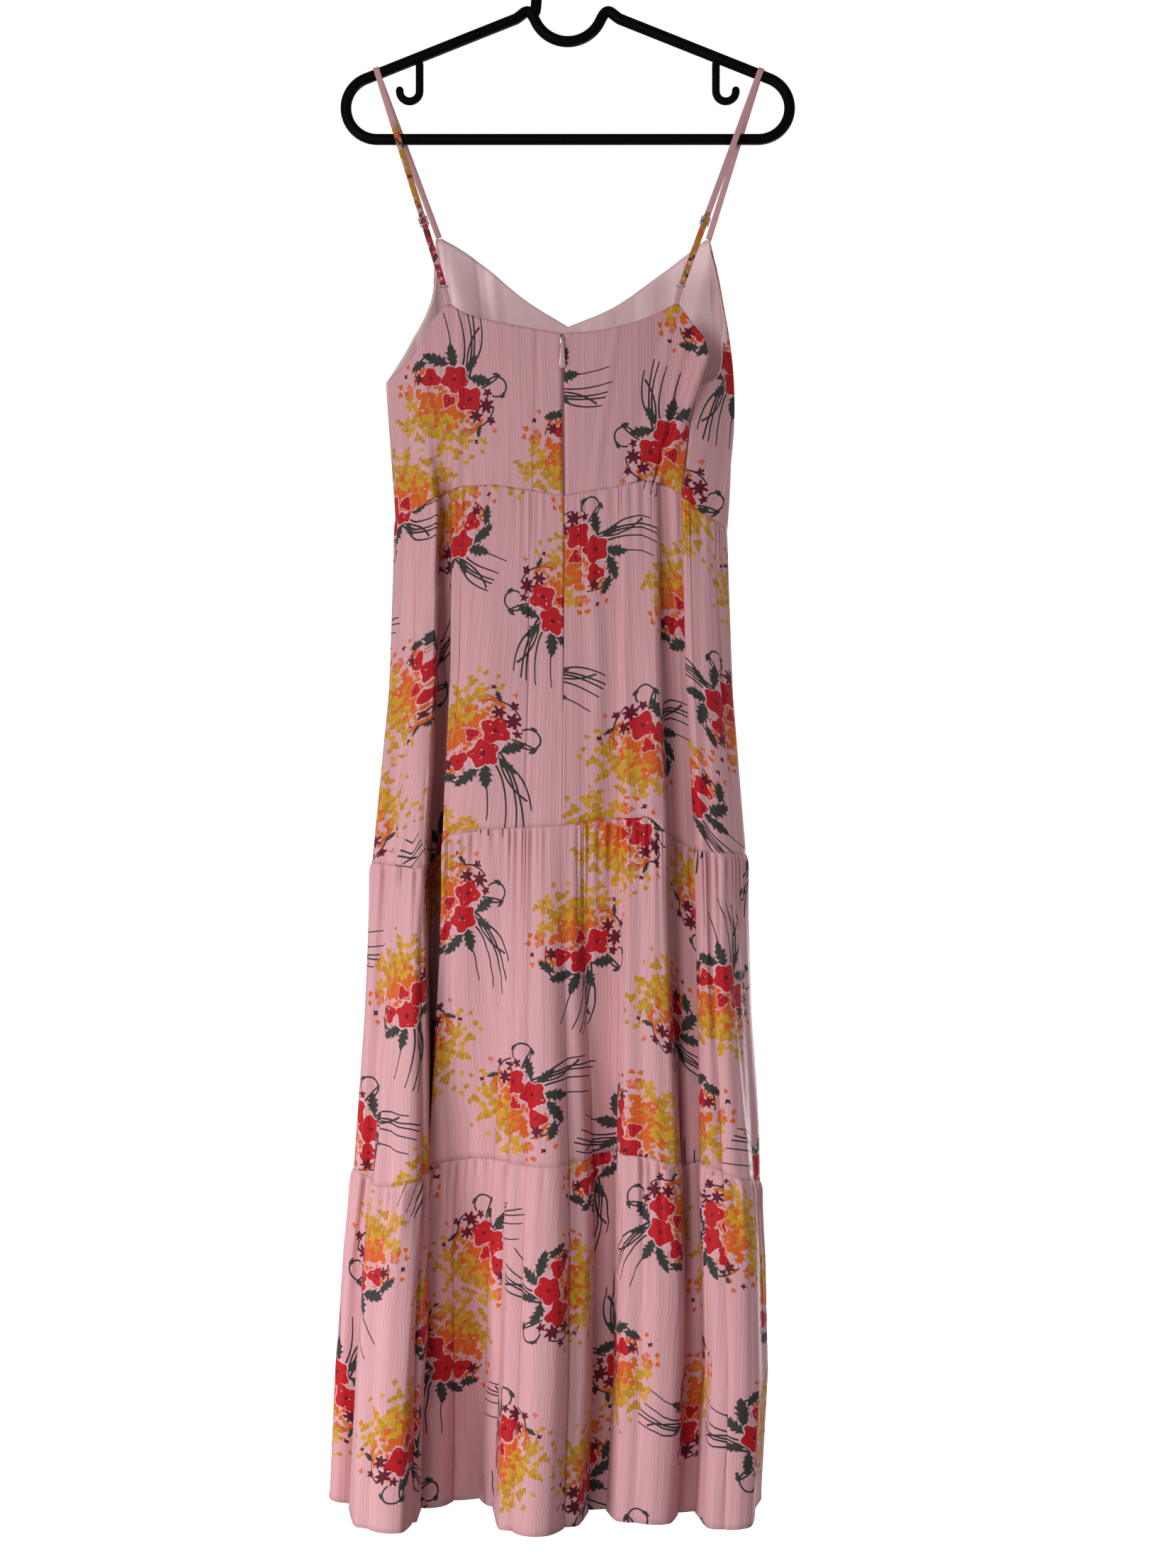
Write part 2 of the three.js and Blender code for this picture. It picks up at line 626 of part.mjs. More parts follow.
// Flat ribbon along a path, with its width in the XZ plane and its faces square to the path.
function ribbon(path, widthWay, width, thick) {
  const positions = [];
  path.forEach((point, step) => {
    const before = path[Math.max(step - 1, 0)];
    const after = path[Math.min(step + 1, path.length - 1)];
    const face = after.clone().sub(before).cross(widthWay).normalize();
    [[1, 1], [1, -1], [-1, -1], [-1, 1]].forEach(([across, out]) => {
      const spot = point.clone().addScaledVector(widthWay, (across * width) / 2);
      positions.push(...spot.addScaledVector(face, (out * thick) / 2).toArray());
    });
  });
  const faces = [];
  for (let step = 0; step < path.length - 1; step += 1) {
    for (let side = 0; side < 4; side += 1) {
      const here = step * 4 + side;
      const next = step * 4 + ((side + 1) % 4);
      faces.push(here, here + 4, next + 4, here, next + 4, next);
    }
  }
  const end = (path.length - 1) * 4;
  faces.push(0, 1, 2, 0, 2, 3, end, end + 2, end + 1, end, end + 3, end + 2);
  const geometry = new THREE.BufferGeometry();
  geometry.setAttribute('position', new THREE.Float32BufferAttribute(positions, 3));
  geometry.setIndex(faces);
  return facingOut(geometry);
}

// Half turn of a ribbon about a bar or wire, from the +Y side of it over the given way to the -Y side.
const TURN_STEPS = 6;

function halfTurn(centre, way, radius) {
  return Array.from({ length: TURN_STEPS + 1 }, (_, step) => {
    const angle = (Math.PI * step) / TURN_STEPS;
    const point = centre.clone().addScaledVector(way, radius * Math.sin(angle));
    point.y += radius * Math.cos(angle);
    return point;
  });
}

function toSolid(geometry) {
  const bare = geometry.clone();
  bare.deleteAttribute('normal');
  bare.deleteAttribute('uv');
  const merged = mergeVertices(bare, 1e-3);
  return new wasm.Manifold(new wasm.Mesh({
    numProp: 3,
    vertProperties: new Float32Array(merged.getAttribute('position').array),
    triVerts: new Uint32Array(merged.getIndex().array),
  }));
}

function joined(geometries) {
  const mesh = geometries.map(toSolid).reduce((whole, piece) => whole.add(piece)).getMesh();
  const geometry = new THREE.BufferGeometry();
  geometry.setAttribute('position', new THREE.BufferAttribute(mesh.vertProperties, 3));
  geometry.setIndex(new THREE.BufferAttribute(mesh.triVerts, 1));
  geometry.computeVertexNormals();
  return geometry;
}

// Strap slider: two rails, two bars over the strap's outer layer and one behind its inner layer.
function sliderGeometry() {
  const { width, thick, sliderHalfGap, sliderWire, sliderHeight } = STRAP;
  const railX = width / 2 + SEAM_GAP + sliderWire / 2;
  const barY = sliderHalfGap + thick / 2 + SEAM_GAP + sliderWire / 2;
  const endZ = (sliderHeight - sliderWire) / 2;
  const railDepth = 2 * barY + sliderWire;
  const rail = (x) => new THREE.BoxGeometry(sliderWire, railDepth, sliderHeight).translate(x, 0, 0);
  const bar = (y, z) => new THREE.BoxGeometry(2 * railX, sliderWire, sliderWire).translate(0, y, z);
  return joined([rail(-railX), rail(railX), bar(-barY, endZ), bar(-barY, -endZ), bar(barY, 0)]);
}

// Straps: up from the front point, over the hanger, down to the ring, through it and back up.
STRAP_ROWS.forEach((row) => {
  const bar = new THREE.Vector3(row.barX, 0, shoulderZ(row.barX));
  const ring = new THREE.Vector3(row.ringX, STRAP.ringY, row.ringZ);
  const flatUp = new THREE.Vector3(bar.x - ring.x, 0, bar.z - ring.z).normalize();
  const widthWay = new THREE.Vector3(flatUp.z, 0, -flatUp.x);
  const strapReach = HANGER.barRadius + SEAM_GAP + STRAP.thick / 2;
  const overBar = halfTurn(bar, flatUp, strapReach);
  const lowBar = overBar[overBar.length - 1];
  const upStrap = lowBar.clone().sub(ring).normalize();
  const foldMid = ring.clone().addScaledVector(flatUp, STRAP.strapFold);
  const throughRing = halfTurn(foldMid, flatUp.clone().negate(), STRAP.foldHalfGap);
  const sliderMid = ring.clone().lerp(lowBar, STRAP.sliderShare);
  const layerAt = (side) => sliderMid.clone().add(new THREE.Vector3(0, side * STRAP.sliderHalfGap, 0));
  const tailEnd = layerAt(-1).addScaledVector(upStrap, STRAP.sliderHeight / 2 + STRAP.tailReach);
  const frontEnd = new THREE.Vector3(row.frontX, STRAP.frontY, row.frontZ);
  const path = [frontEnd, ...overBar, layerAt(1), ...throughRing, layerAt(-1), tailEnd];
  addMesh(`strap_${row.side}`, ribbon(path, widthWay, STRAP.width, STRAP.thick), MATERIALS.print);

  const slider = addMesh(`strap_slider_${row.side}`, sliderGeometry(), MATERIALS.steel);
  slider.position.copy(sliderMid);
  const sliderFace = upStrap.clone().cross(widthWay);
  slider.setRotationFromMatrix(new THREE.Matrix4().makeBasis(widthWay, sliderFace, upStrap));

  const wireRing = new THREE.TorusGeometry(STRAP.ringRadius, STRAP.ringWire, 6, 16);
  const ringMesh = addMesh(`strap_ring_${row.side}`, wireRing, MATERIALS.steel);
  ringMesh.position.copy(ring);
  ringMesh.rotation.x = Math.PI / 2;

  const neck = new THREE.Vector3(row.neckX, STRAP.neckY, NECK_Z);
  const neckLayer = (side) => neck.clone().add(new THREE.Vector3(0, side * STRAP.sliderHalfGap, 0));
  const tabTurn = halfTurn(ring.clone().addScaledVector(flatUp, -STRAP.tabFold), flatUp, STRAP.foldHalfGap);
  const underRing = (point) => point.clone().addScaledVector(flatUp, -STRAP.tabStraight);
  const tabPath = [
    neckLayer(1),
    underRing(tabTurn[0]),
    ...tabTurn,
    underRing(tabTurn[tabTurn.length - 1]),
    neckLayer(-1),
  ];
  const tab = ribbon(tabPath, new THREE.Vector3(1, 0, 0), STRAP.tabWidth, STRAP.thick);
  addMesh(`ring_tab_${row.side}`, tab, MATERIALS.print);
});

// Concealed zip: a chain behind the centre back seam, a slider on the seam and its pull tab.
const neckBack = new THREE.Vector3(...CORNERS.centreBack);
const waistBack = skirtPoint(backTurn, 0);

function backSeamAt(z) {
  return neckBack.clone().lerp(waistBack, (z - neckBack.z) / (waistBack.z - neckBack.z));
}

const chainInset = CLOTH / 2 + SEAM_GAP + ZIP.tapeThick / 2;
const chainPath = [backSeamAt(neckBack.z - ZIP.chainDrop)];
ZIP.chainLevels.forEach((level) => chainPath.push(skirtPoint(backTurn, level)));
chainPath.forEach((point) => {
  point.y += chainInset;
});
const chain = ribbon(chainPath, new THREE.Vector3(1, 0, 0), ZIP.tapeWidth, ZIP.tapeThick);
addMesh('zip_chain', chain, MATERIALS.zip);

// Flat drop, round at both ends and wider at the foot, with its thickness along Y.
function flatDrop(length, topRadius, footRadius, thick) {
  const shape = new THREE.Shape();
  shape.absarc(0, -topRadius, topRadius, Math.PI, 0, true);
  shape.absarc(0, footRadius - length, footRadius, 0, -Math.PI, true);
  const geometry = new THREE.ExtrudeGeometry(shape, { depth: thick, bevelEnabled: false, curveSegments: 8 });
  geometry.rotateX(Math.PI / 2);
  geometry.translate(0, thick / 2, 0);
  return geometry;
}

const sliderTop = backSeamAt(ZIP.sliderTopZ);
const sliderY = sliderTop.y - CLOTH / 2 - SEAM_GAP - ZIP.sliderThick / 2;
const zipSlider = addMesh(
  'zip_slider',
  flatDrop(ZIP.sliderHeight, ZIP.sliderWidth / 2, ZIP.sliderWidth / 2.4, ZIP.sliderThick),
  MATERIALS.zip,
);
zipSlider.position.set(sliderTop.x, sliderY, ZIP.sliderTopZ);

const zipPull = addMesh(
  'zip_pull',
  flatDrop(ZIP.pullLength, ZIP.pullWidth / 4, ZIP.pullWidth / 2, ZIP.pullThick),
  MATERIALS.zip,
);
const pullY = sliderY - ZIP.sliderThick / 2 - SEAM_GAP - ZIP.pullThick / 2;
zipPull.position.set(sliderTop.x, pullY, ZIP.sliderTopZ - ZIP.pullDrop);

export default dress;
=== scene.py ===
import bmesh
import bpy
import numpy as np
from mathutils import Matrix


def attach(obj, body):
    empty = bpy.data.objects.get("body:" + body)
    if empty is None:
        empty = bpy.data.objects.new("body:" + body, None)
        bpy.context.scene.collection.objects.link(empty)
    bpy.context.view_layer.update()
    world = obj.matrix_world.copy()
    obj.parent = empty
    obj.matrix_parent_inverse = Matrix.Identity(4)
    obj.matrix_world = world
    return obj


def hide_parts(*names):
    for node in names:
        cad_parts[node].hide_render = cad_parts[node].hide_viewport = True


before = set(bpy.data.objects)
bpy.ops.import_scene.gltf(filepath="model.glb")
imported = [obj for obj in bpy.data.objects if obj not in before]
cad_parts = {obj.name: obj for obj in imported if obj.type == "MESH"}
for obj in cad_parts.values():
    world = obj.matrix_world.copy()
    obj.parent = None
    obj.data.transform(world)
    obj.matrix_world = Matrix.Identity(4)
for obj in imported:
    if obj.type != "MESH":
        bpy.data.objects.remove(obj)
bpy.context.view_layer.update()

# Camera
# Two metres in front of the dress's back and level, so the hanger's hook runs out of the top
# of the frame and the hem stays just inside the bottom.
camera_data = bpy.data.cameras.new("camera")
camera_data.lens = 49.69
camera_data.clip_end = 50
camera = bpy.data.objects.new("camera", camera_data)
camera.location = (0.0187, -2.0, -0.8)
camera.rotation_euler = (np.pi / 2, 0, 0)
bpy.context.collection.objects.link(camera)
bpy.context.scene.camera = camera


# Floor and light
# A pale studio floor under the hem, a white room, and five wide soft lamps: two from the near
# left that shade the folds, one from each side and one from behind.
FLOOR_Z = -1.62
FLOOR_REACH = 30.0
FLOOR_GLOW = 0.84
ROOM_GLOW = 0.23
ROOM_SEEN = 1.02
LAMPS = (
    # name, place, aim, side, power, spread in degrees
    ("lamp_front", (-1.2, -1.05, -1.45), (0, 0, -1.35), 0.5, 5.2, 100),
    ("lamp_top", (-0.8, -1.85, -0.3), (0, 0, -0.8), 0.6, 13, 180),
    ("lamp_right", (1.8, 0.2, -0.9), (0, 0, -0.95), 0.8, 6, 180),
    ("lamp_back", (0.9, 1.6, -1.3), (0, 0, -1.0), 0.7, 21, 180),
    ("lamp_left", (-1.8, 0.4, -0.9), (0, 0, -0.95), 0.8, 5, 180),
)


def node_material(name):
    """Empty node material: returns it, its tree and its Principled shader."""
    material = bpy.data.materials.new(name)
    material.use_nodes = True
    tree = material.node_tree
    return material, tree, tree.nodes["Principled BSDF"]


def grid_mesh(name, points, uv=None, loops=False, capped=False):
    """Mesh over a rows x columns grid of points in metres, one quad to each grid square.
    With loops the last column joins the first; capped closes both end rows with a face."""
    rows, columns = points.shape[:2]
    index = np.arange(rows * columns).reshape(rows, columns)
    if loops:
        index = np.concatenate([index, index[:, :1]], axis=1)
    quads = np.stack([index[:-1, :-1], index[1:, :-1], index[1:, 1:], index[:-1, 1:]], axis=-1)
    faces = quads.reshape(-1, 4).tolist()
    if capped:
        faces.append(index[0, :columns].tolist())
        faces.append(index[-1, columns - 1 :: -1].tolist())
    mesh = bpy.data.meshes.new(name)
    mesh.from_pydata(points.reshape(-1, 3).tolist(), [], faces)
    if uv is not None:
        layer = mesh.uv_layers.new(name="cloth")
        corner = np.empty(len(mesh.loops), dtype=np.int32)
        mesh.loops.foreach_get("vertex_index", corner)
        layer.data.foreach_set("uv", uv.reshape(-1, 2)[corner].astype(np.float32).ravel())
    mesh.polygons.foreach_set("use_smooth", np.ones(len(mesh.polygons), dtype=bool))
    mesh.update()
    return mesh


def add_object(name, mesh, *materials):
    """Object at the origin that shows a mesh in the given materials."""
    thing = bpy.data.objects.new(name, mesh)
    for material in materials:
        mesh.materials.append(material)
    bpy.context.collection.objects.link(thing)
    return thing


def fill(node, inputs):
    """Sets a node's inputs: sockets and terms are linked to it, the rest are plain values."""
    for name, value in inputs.items():
        value = getattr(value, "socket", value)
        if isinstance(value, bpy.types.NodeSocket):
            node.id_data.links.new(value, node.inputs[name])
        else:
            node.inputs[name].default_value = value


def add_node(tree, kind, inputs=None, **settings):
    """Node of a kind with its settings, then its inputs."""
    node = tree.nodes.new(kind)
    for name, value in settings.items():
        setattr(node, name, value)
    fill(node, inputs or {})
    return node


floor_paint, _, floor_shader = node_material("studio floor")
fill(floor_shader, {
    "Base Color": (0.9, 0.9, 0.9, 1),
    "Roughness": 0.9,
    "Emission Color": (1, 1, 1, 1),
    "Emission Strength": FLOOR_GLOW,
})
floor_x, floor_y = np.meshgrid([-FLOOR_REACH, FLOOR_REACH], [-FLOOR_REACH, FLOOR_REACH])
floor_points = np.stack([floor_x, floor_y, np.full_like(floor_x, FLOOR_Z)], axis=-1)[::-1]
floor = add_object("floor", grid_mesh("floor", floor_points), floor_paint)
floor.visible_diffuse = False
floor.visible_glossy = False

bpy.context.scene.view_settings.view_transform = "Standard"
world = bpy.data.worlds.new("studio")
world.use_nodes = True
sky = world.node_tree
sky_path = add_node(sky, "ShaderNodeLightPath")
seen = {"Value": sky_path.outputs["Is Camera Ray"], "To Min": ROOM_GLOW, "To Max": ROOM_SEEN}
sky_glow = add_node(sky, "ShaderNodeMapRange", seen)
fill(sky.nodes["Background"], {"Color": (1, 1, 1, 1), "Strength": sky_glow.outputs["Result"]})
bpy.context.scene.world = world

for lamp_name, place, aim, side, power, spread in LAMPS:
    lamp_data = bpy.data.lights.new(lamp_name, "AREA")
    lamp_data.size = side
    lamp_data.energy = power
    lamp_data.spread = np.radians(spread)
    lamp = bpy.data.objects.new(lamp_name, lamp_data)
    lamp.location = place
    way = np.array(aim) - np.array(place)
    lamp.rotation_euler = (
        np.arccos(-way[2] / np.linalg.norm(way)),
        0,
        np.arctan2(way[1], way[0]) - np.pi / 2,
    )
    bpy.context.collection.objects.link(lamp)


# Printed chiffon
# Light pink crinkle chiffon with scattered bouquets, printed on the right side only, so its
# reverse is paler. The print follows the cloth, laid out in metres on its UV map.
CLOTH_THICK = 0.0009
RIBS_A_METRE = 330.0
BOUQUET_SPACING = 0.130
MOTIF_SCALE = 0.86
PINK = (0.70, 0.37, 0.40)
PALE_PINK = (0.74, 0.50, 0.52)
MUSTARD = (0.50, 0.235, 0.016)
GOLD = (0.62, 0.315, 0.022)
ORANGE = (0.66, 0.115, 0.014)
RED = (0.50, 0.010, 0.017)
MAROON = (0.12, 0.008, 0.022)
LEAF_GREY = (0.042, 0.042, 0.038)
STEM_GREY = (0.032, 0.028, 0.030)
LATTICE_TURN = 0.45
LATTICE_LOOSENESS = 0.12
QUARTER_TURN = 1.5708
FRAYS_A_METRE = 260.0
# A bouquet's own sizes, in millimetres from its middle: how high it sits, how far its edges fray,
# where stems leave it, and the size of a blossom's cell, the blossoms' middle and their reach.
BOUQUET_LIFT = 7
FRAY = 2.6
STEM_FOOT_Y = -12
BLOSSOM_CELL = 5.4
BLOSSOM_MIDDLE = (-3, 30)
BLOSSOM_REACH = (62, 47)
# Foot's x, lean, curve, first and last drop and half width of each stem, in millimetres.
STEMS = (
    (4.0, -0.10, 0.0125, 0, 74, 1.3),
    (8.0, 0.05, 0.0135, 0, 62, 1.2),
    (-4.0, 0.20, 0.0075, 0, 72, 1.3),
    (14.0, -0.75, 0.0150, 0, 66, 1.1),
    (-9.0, 1.15, -0.0100, 2, 58, 1.15),
    (16.0, 0.60, 0.0110, 0, 44, 1.1),
    (-14.0, -0.60, 0.0080, -4, 34, 1.0),
    (-44.0, 0.45, 0.0200, -38, 4, 0.95),
    (46.0, -0.30, -0.0150, -36, 2, 0.95),
)
# Middle, radius and half width of the sprig's loop.
LOOP = (-30, -34, 10.5, 1.0)
# Centre, angle, half length and half width of each leaf.
LEAVES = (
    ((37, -13), 18, 15, 6.2),
    ((47, 4), 62, 11, 4.8),
    ((27, -27), -38, 14, 6.0),
    ((-13, -28), 208, 13, 6.0),
    ((6, -35), -80, 11, 4.6),
    ((-41, -32), 100, 5, 2.3),
    ((-22, -44), 20, 5, 2.2),
    ((-47, 14), 118, 7, 2.6),
)
# Centre, radius, petals, dent and turn of each flower.
POPPIES = (
    ((-17, -5), 15.5, 4, 0.15, 0.4),
    ((9, -11), 15.5, 5, 0.12, 1.3),
    ((28, 5), 11.0, 3, 0.16, 2.2),
    ((-1, 11), 8.0, 3, 0.18, 0.9),
)
STARS = (
    ((-35, -12), 9.0, 7, 0.24, 0.0),
    ((-34, 4), 7.5, 6, 0.24, 0.7),
    ((-49, -3), 5.0, 5, 0.24, 1.1),
    ((37, 14), 6.5, 6, 0.24, 0.3),
    ((-27, -23), 5.0, 5, 0.24, 0.8),
    ((-52, 24), 3.0, 4, 0.25, 0.3),
    ((56, 24), 3.0, 4, 0.25, 0.6),
)


class Term:
    """A number in a shader: sums, products and the rest on it add one node each."""

    def __init__(self, socket):
        self.socket = socket

    def math(self, kind, *others):
        inputs = dict(enumerate((self, *others)))
        return Term(add_node(self.socket.id_data, "ShaderNodeMath", inputs, operation=kind).outputs[0])

    def __add__(self, other):
        return self.math("ADD", other)

    def __sub__(self, other):
        return self.math("SUBTRACT", other)

    def __mul__(self, other):
        return self.math("MULTIPLY", other)

    def __truediv__(self, other):
        return self.math("DIVIDE", other)

    def ramp(self, low, high):
        """0 at low and 1 at high, with a straight slope between and level beyond both."""
        inputs = {"Value": self, "From Min": low, "From Max": high}
        return Term(add_node(self.socket.id_data, "ShaderNodeMapRange", inputs).outputs["Result"])


def split(socket):
    """The three parts of a vector."""
    node = add_node(socket.id_data, "ShaderNodeSeparateXYZ", {0: socket})
    return [Term(node.outputs[j]) for j in range(3)]


def paint(under, over, share):
    """Colour over laid on colour under, by its share from 0 to 1."""
    under, over = ((*tone, 1) if isinstance(tone, tuple) else tone for tone in (under, over))
    inputs = {0: share, 6: under, 7: over}
    return add_node(share.socket.id_data, "ShaderNodeMix", inputs, data_type="RGBA").outputs[2]


def rotated(place, angle):
    """A vector turned about the Z axis."""
    inputs = {"Vector": place, "Angle": angle}
    node = add_node(place.id_data, "ShaderNodeVectorRotate", inputs, rotation_type="Z_AXIS")
    return node.outputs[0]


def cells_2d(place, size, looseness):
    """Cells about the points of a loose lattice."""
    inputs = {"Vector": place, "Scale": 1 / size, "Randomness": looseness}
    return add_node(place.id_data, "ShaderNodeTexVoronoi", inputs, voronoi_dimensions="2D")


def noise_2d(place, scale, detail):
    """Flat noise of so many grains to a unit."""
    inputs = {"Vector": place, "Scale": scale, "Detail": detail}
    return add_node(place.id_data, "ShaderNodeTexNoise", inputs, noise_dimensions="2D")


def lobed(x, y, centre, radius, petals, dent, turn):
    """Distance from a flower's middle over its edge's distance there: below 1 is inside. The
    edge is a circle with petals waves of the given dent."""
    dx = x - centre[0]
    dy = y - centre[1]
    wave = (dy.math("ARCTAN2", dx) * petals + turn).math("COSINE")
    return (dx * dx + dy * dy).math("SQRT") / (wave * (dent * radius) + radius * (1 - dent))


def leaf(x, y, centre, angle, length, width):
    """Distance off a leaf's midrib over its half width there, which narrows to both tips by a
    parabola and is cut into by teeth: below 1 is inside."""
    cos, sin = np.cos(np.radians(angle)), np.sin(np.radians(angle))
    dx = x - centre[0]
    dy = y - centre[1]
    along = (dx * cos + dy * sin) / length
    off = (dy * cos - dx * sin).math("ABSOLUTE")
    half = (along * along * -width + width).math("MAXIMUM", 0.01)
    teeth = (along * 2.5 + 5).math("FRACT") * 0.55 + 0.65
    return off / (half * teeth)


def line_ink(off, width):
    """Ink share of a line at a distance off its middle, soft at the edge of its half width."""
    return (off * -1 + width).ramp(-0.25, 0.35)


def stem(x, y, foot_x, lean, curve, top, low, width):
    """Ink share of a stem: a parabola running down the bouquet from top to low."""
    drop = y * -1 + STEM_FOOT_Y
    off = (x - foot_x - drop * lean - drop * drop * curve).math("ABSOLUTE")
    inside = (drop - top).math("MINIMUM", drop * -1 + low)
    return line_ink(off, width) * inside.ramp(-0.3, 0.5)


def loop_ink(x, y, middle_x, middle_y, radius, width):
    """Ink share of a looped sprig: a circle's line, open where it rises to the flowers."""
    dx = x - middle_x
    dy = y - middle_y
    off = ((dx * dx + dy * dy).math("SQRT") - radius).math("ABSOLUTE")
    return line_ink(off, width) * (dx * -0.6 - dy + radius * 0.8).ramp(-0.5, 0.5)


def joined(pick, shape, x, y, rows):
    """The MINIMUM or MAXIMUM of a shape's value over all the rows that describe it."""
    value = shape(x, y, *rows[0])
    for row in rows[1:]:
        value = value.math(pick, shape(x, y, *row))
    return value


def print_colour(uv, ground):
    """The bouquets over a ground colour. Each place belongs to the nearest point of a loose
    lattice, and the bouquet there is drawn about it, turned by that point's own chance angle."""
    tree = uv.id_data
    turned = rotated(uv, LATTICE_TURN)
    cells = cells_2d(turned, BOUQUET_SPACING, LATTICE_LOOSENESS)
    chance = split(cells.outputs["Color"])
    ends = {0: turned, 1: cells.outputs["Position"]}
    place = add_node(tree, "ShaderNodeVectorMath", ends, operation="SUBTRACT").outputs[0]
    turn = (chance[0] * 4.0).math("FLOOR") * QUARTER_TURN + chance[1] * 0.9
    x, y, _ = split(rotated(place, turn))
    mirror = (chance[2] - 0.5).math("SIGN")
    smooth_x = x * mirror * (1000 / MOTIF_SCALE)
    smooth_y = y * (1000 / MOTIF_SCALE) - BOUQUET_LIFT
    fray = split(noise_2d(uv, FRAYS_A_METRE, 1.0).outputs["Color"])
    x = smooth_x + (fray[0] - 0.5) * FRAY
    y = smooth_y + (fray[1] - 0.5) * FRAY

    # Stems, long and crossing, and the looped sprig.
    stems = joined("MAXIMUM", stem, smooth_x, smooth_y, STEMS)
    colour = paint(ground, STEM_GREY, stems.math("MAXIMUM", loop_ink(smooth_x, smooth_y, *LOOP)))

    # Blossoms: one to each small cell, thinning out from the cluster's middle.
    grain = add_node(tree, "ShaderNodeCombineXYZ", {0: x, 1: y})
    dots = cells_2d(grain.outputs[0], BLOSSOM_CELL, 0.9)
    dot_x, dot_y, _ = split(dots.outputs["Position"])
    dot_chance = split(dots.outputs["Color"])
    out_x = (dot_x - BLOSSOM_MIDDLE[0]) / BLOSSOM_REACH[0]
    out_y = (dot_y - BLOSSOM_MIDDLE[1]) / BLOSSOM_REACH[1]
    far_out = (out_x * out_x + out_y * out_y).math("SQRT")
    kept = (far_out + dot_chance[0] * 0.8).ramp(1.14, 1.1)
    frill = (y - dot_y).math("ARCTAN2", x - dot_x) * 4
    size = (frill + dot_chance[1] * 6).math("COSINE") * 0.85 + far_out * -1.5 + 4.5
    body = (size - Term(dots.outputs["Distance"]) * BLOSSOM_CELL).ramp(-0.3, 0.4)
    warm = (out_x * 0.35 - out_y + dot_chance[2] * 0.6).ramp(0.26, 0.34)
    gold = paint(MUSTARD, GOLD, dot_chance[1].ramp(0.35, 0.65))
    colour = paint(colour, paint(gold, ORANGE, warm), kept * body)

    # Leaves, cut with teeth.
    leaves = joined("MINIMUM", leaf, x, y, LEAVES)
    colour = paint(colour, LEAF_GREY, leaves.ramp(1.12, 0.9))

    # Poppies with a pale outline, pale gaps between petals and a dark eye.
    poppy = joined("MINIMUM", lobed, x, y, POPPIES)
    colour = paint(colour, PALE_PINK, poppy.ramp(1.13, 1.07))
    colour = paint(colour, RED, poppy.ramp(1.04, 0.96) * fray[2].ramp(0.80, 0.76))
    colour = paint(colour, MAROON, poppy.ramp(0.20, 0.12))

    # Star flowers, and the small ones on the side sprigs.
    stars = joined("MINIMUM", lobed, x, y, STARS)
    return paint(colour, MAROON, stars.ramp(1.06, 0.94))


def cloth_uv(tree):
    """The cloth's own UV map, in metres."""
    return add_node(tree, "ShaderNodeUVMap", uv_map="cloth").outputs[0]


def chiffon(material_name, ground, inked, roughness):
    """Crinkled chiffon: a ground colour with painted shade in the fine ribs' grooves and painted light
    on their crests, printed or plain, and narrow upright ribs of uneven width as bump."""
    material, tree, shader = node_material(material_name)
    uv = cloth_uv(tree)
    stretch = add_node(tree, "ShaderNodeMapping", {"Vector": uv, "Scale": (RIBS_A_METRE, 8.0, 1.0)})
    loose = Term(noise_2d(stretch.outputs[0], 1.0, 1.0).outputs[0])
    rib = (split(uv)[0] * (2 * np.pi * RIBS_A_METRE) + loose * 5).math("SINE") * 0.22 + loose
    # Painted shade and painted light: the ground colour follows the ribs' height, darker in their
    # grooves and lighter on their crests.
    dark = tuple(0.90 * part for part in ground)
    light = tuple(1.05 * part for part in ground)
    colour = paint(dark, light, rib.ramp(0.1, 0.9))
    bump = add_node(tree, "ShaderNodeBump", {"Height": rib, "Strength": 0.5, "Distance": 0.0004})
    fill(shader, {
        "Base Color": print_colour(uv, colour) if inked else colour,
        "Normal": bump.outputs[0],
        "Roughness": roughness,
        "Sheen Weight": 0.05,
        "Sheen Roughness": 0.5,
        "Specular IOR Level": 0.15,
    })
    return material


printed = chiffon("printed chiffon", PINK, True, 0.6)
reverse = chiffon("chiffon reverse", PALE_PINK, False, 0.7)


def stands_for(piece, node, body="dress"):
    """Ties a visible piece to its body and hides the solid that it stands for."""
    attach(piece, body)
    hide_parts(node)


def dress_cloth(name, node, points, uv, outer, inner):
    """Sheet of cloth over a grid of points in millimetres, given its thickness half to each side."""
    cloth = add_object(name, grid_mesh(name, points * 0.001, uv), outer, inner)
    wall = cloth.modifiers.new("thickness", "SOLIDIFY")
    wall.thickness = CLOTH_THICK
    wall.offset = 0
    wall.use_even_offset = False
    wall.material_offset = 1
    stands_for(cloth, node)


# Skirt
# Three tiers of one long flattened tube. Each tier is a straight length of chiffon gathered
# into the seam above it, with hanging folds that deepen towards the narrow rolled hem.
CENTRE_BACK = 0.51
SIDE_SEAM = 0.86
RING_BEND = 2 / 2.4
FOLD_CRISP = 1.5
OVERHANG = 10.0
ZIP_FOOT_Z = -725
# Gather spacing and depth in millimetres and how far down gathers reach, from the top tier down.
TIERS = ((15.0, 1.1, 60.0), (10.5, 2.5, 58.0), (9.5, 2.8, 66.0))
TIER_ROWS = 60
# Level where the rings are measured, the print's shift from tier to tier in metres, and how much
# the print leans at the turned-in left side.
MEASURED_LEVEL = 2.3
TIER_PRINT = np.array([0.405, 0.19])
SIDE_LEAN = 0.1
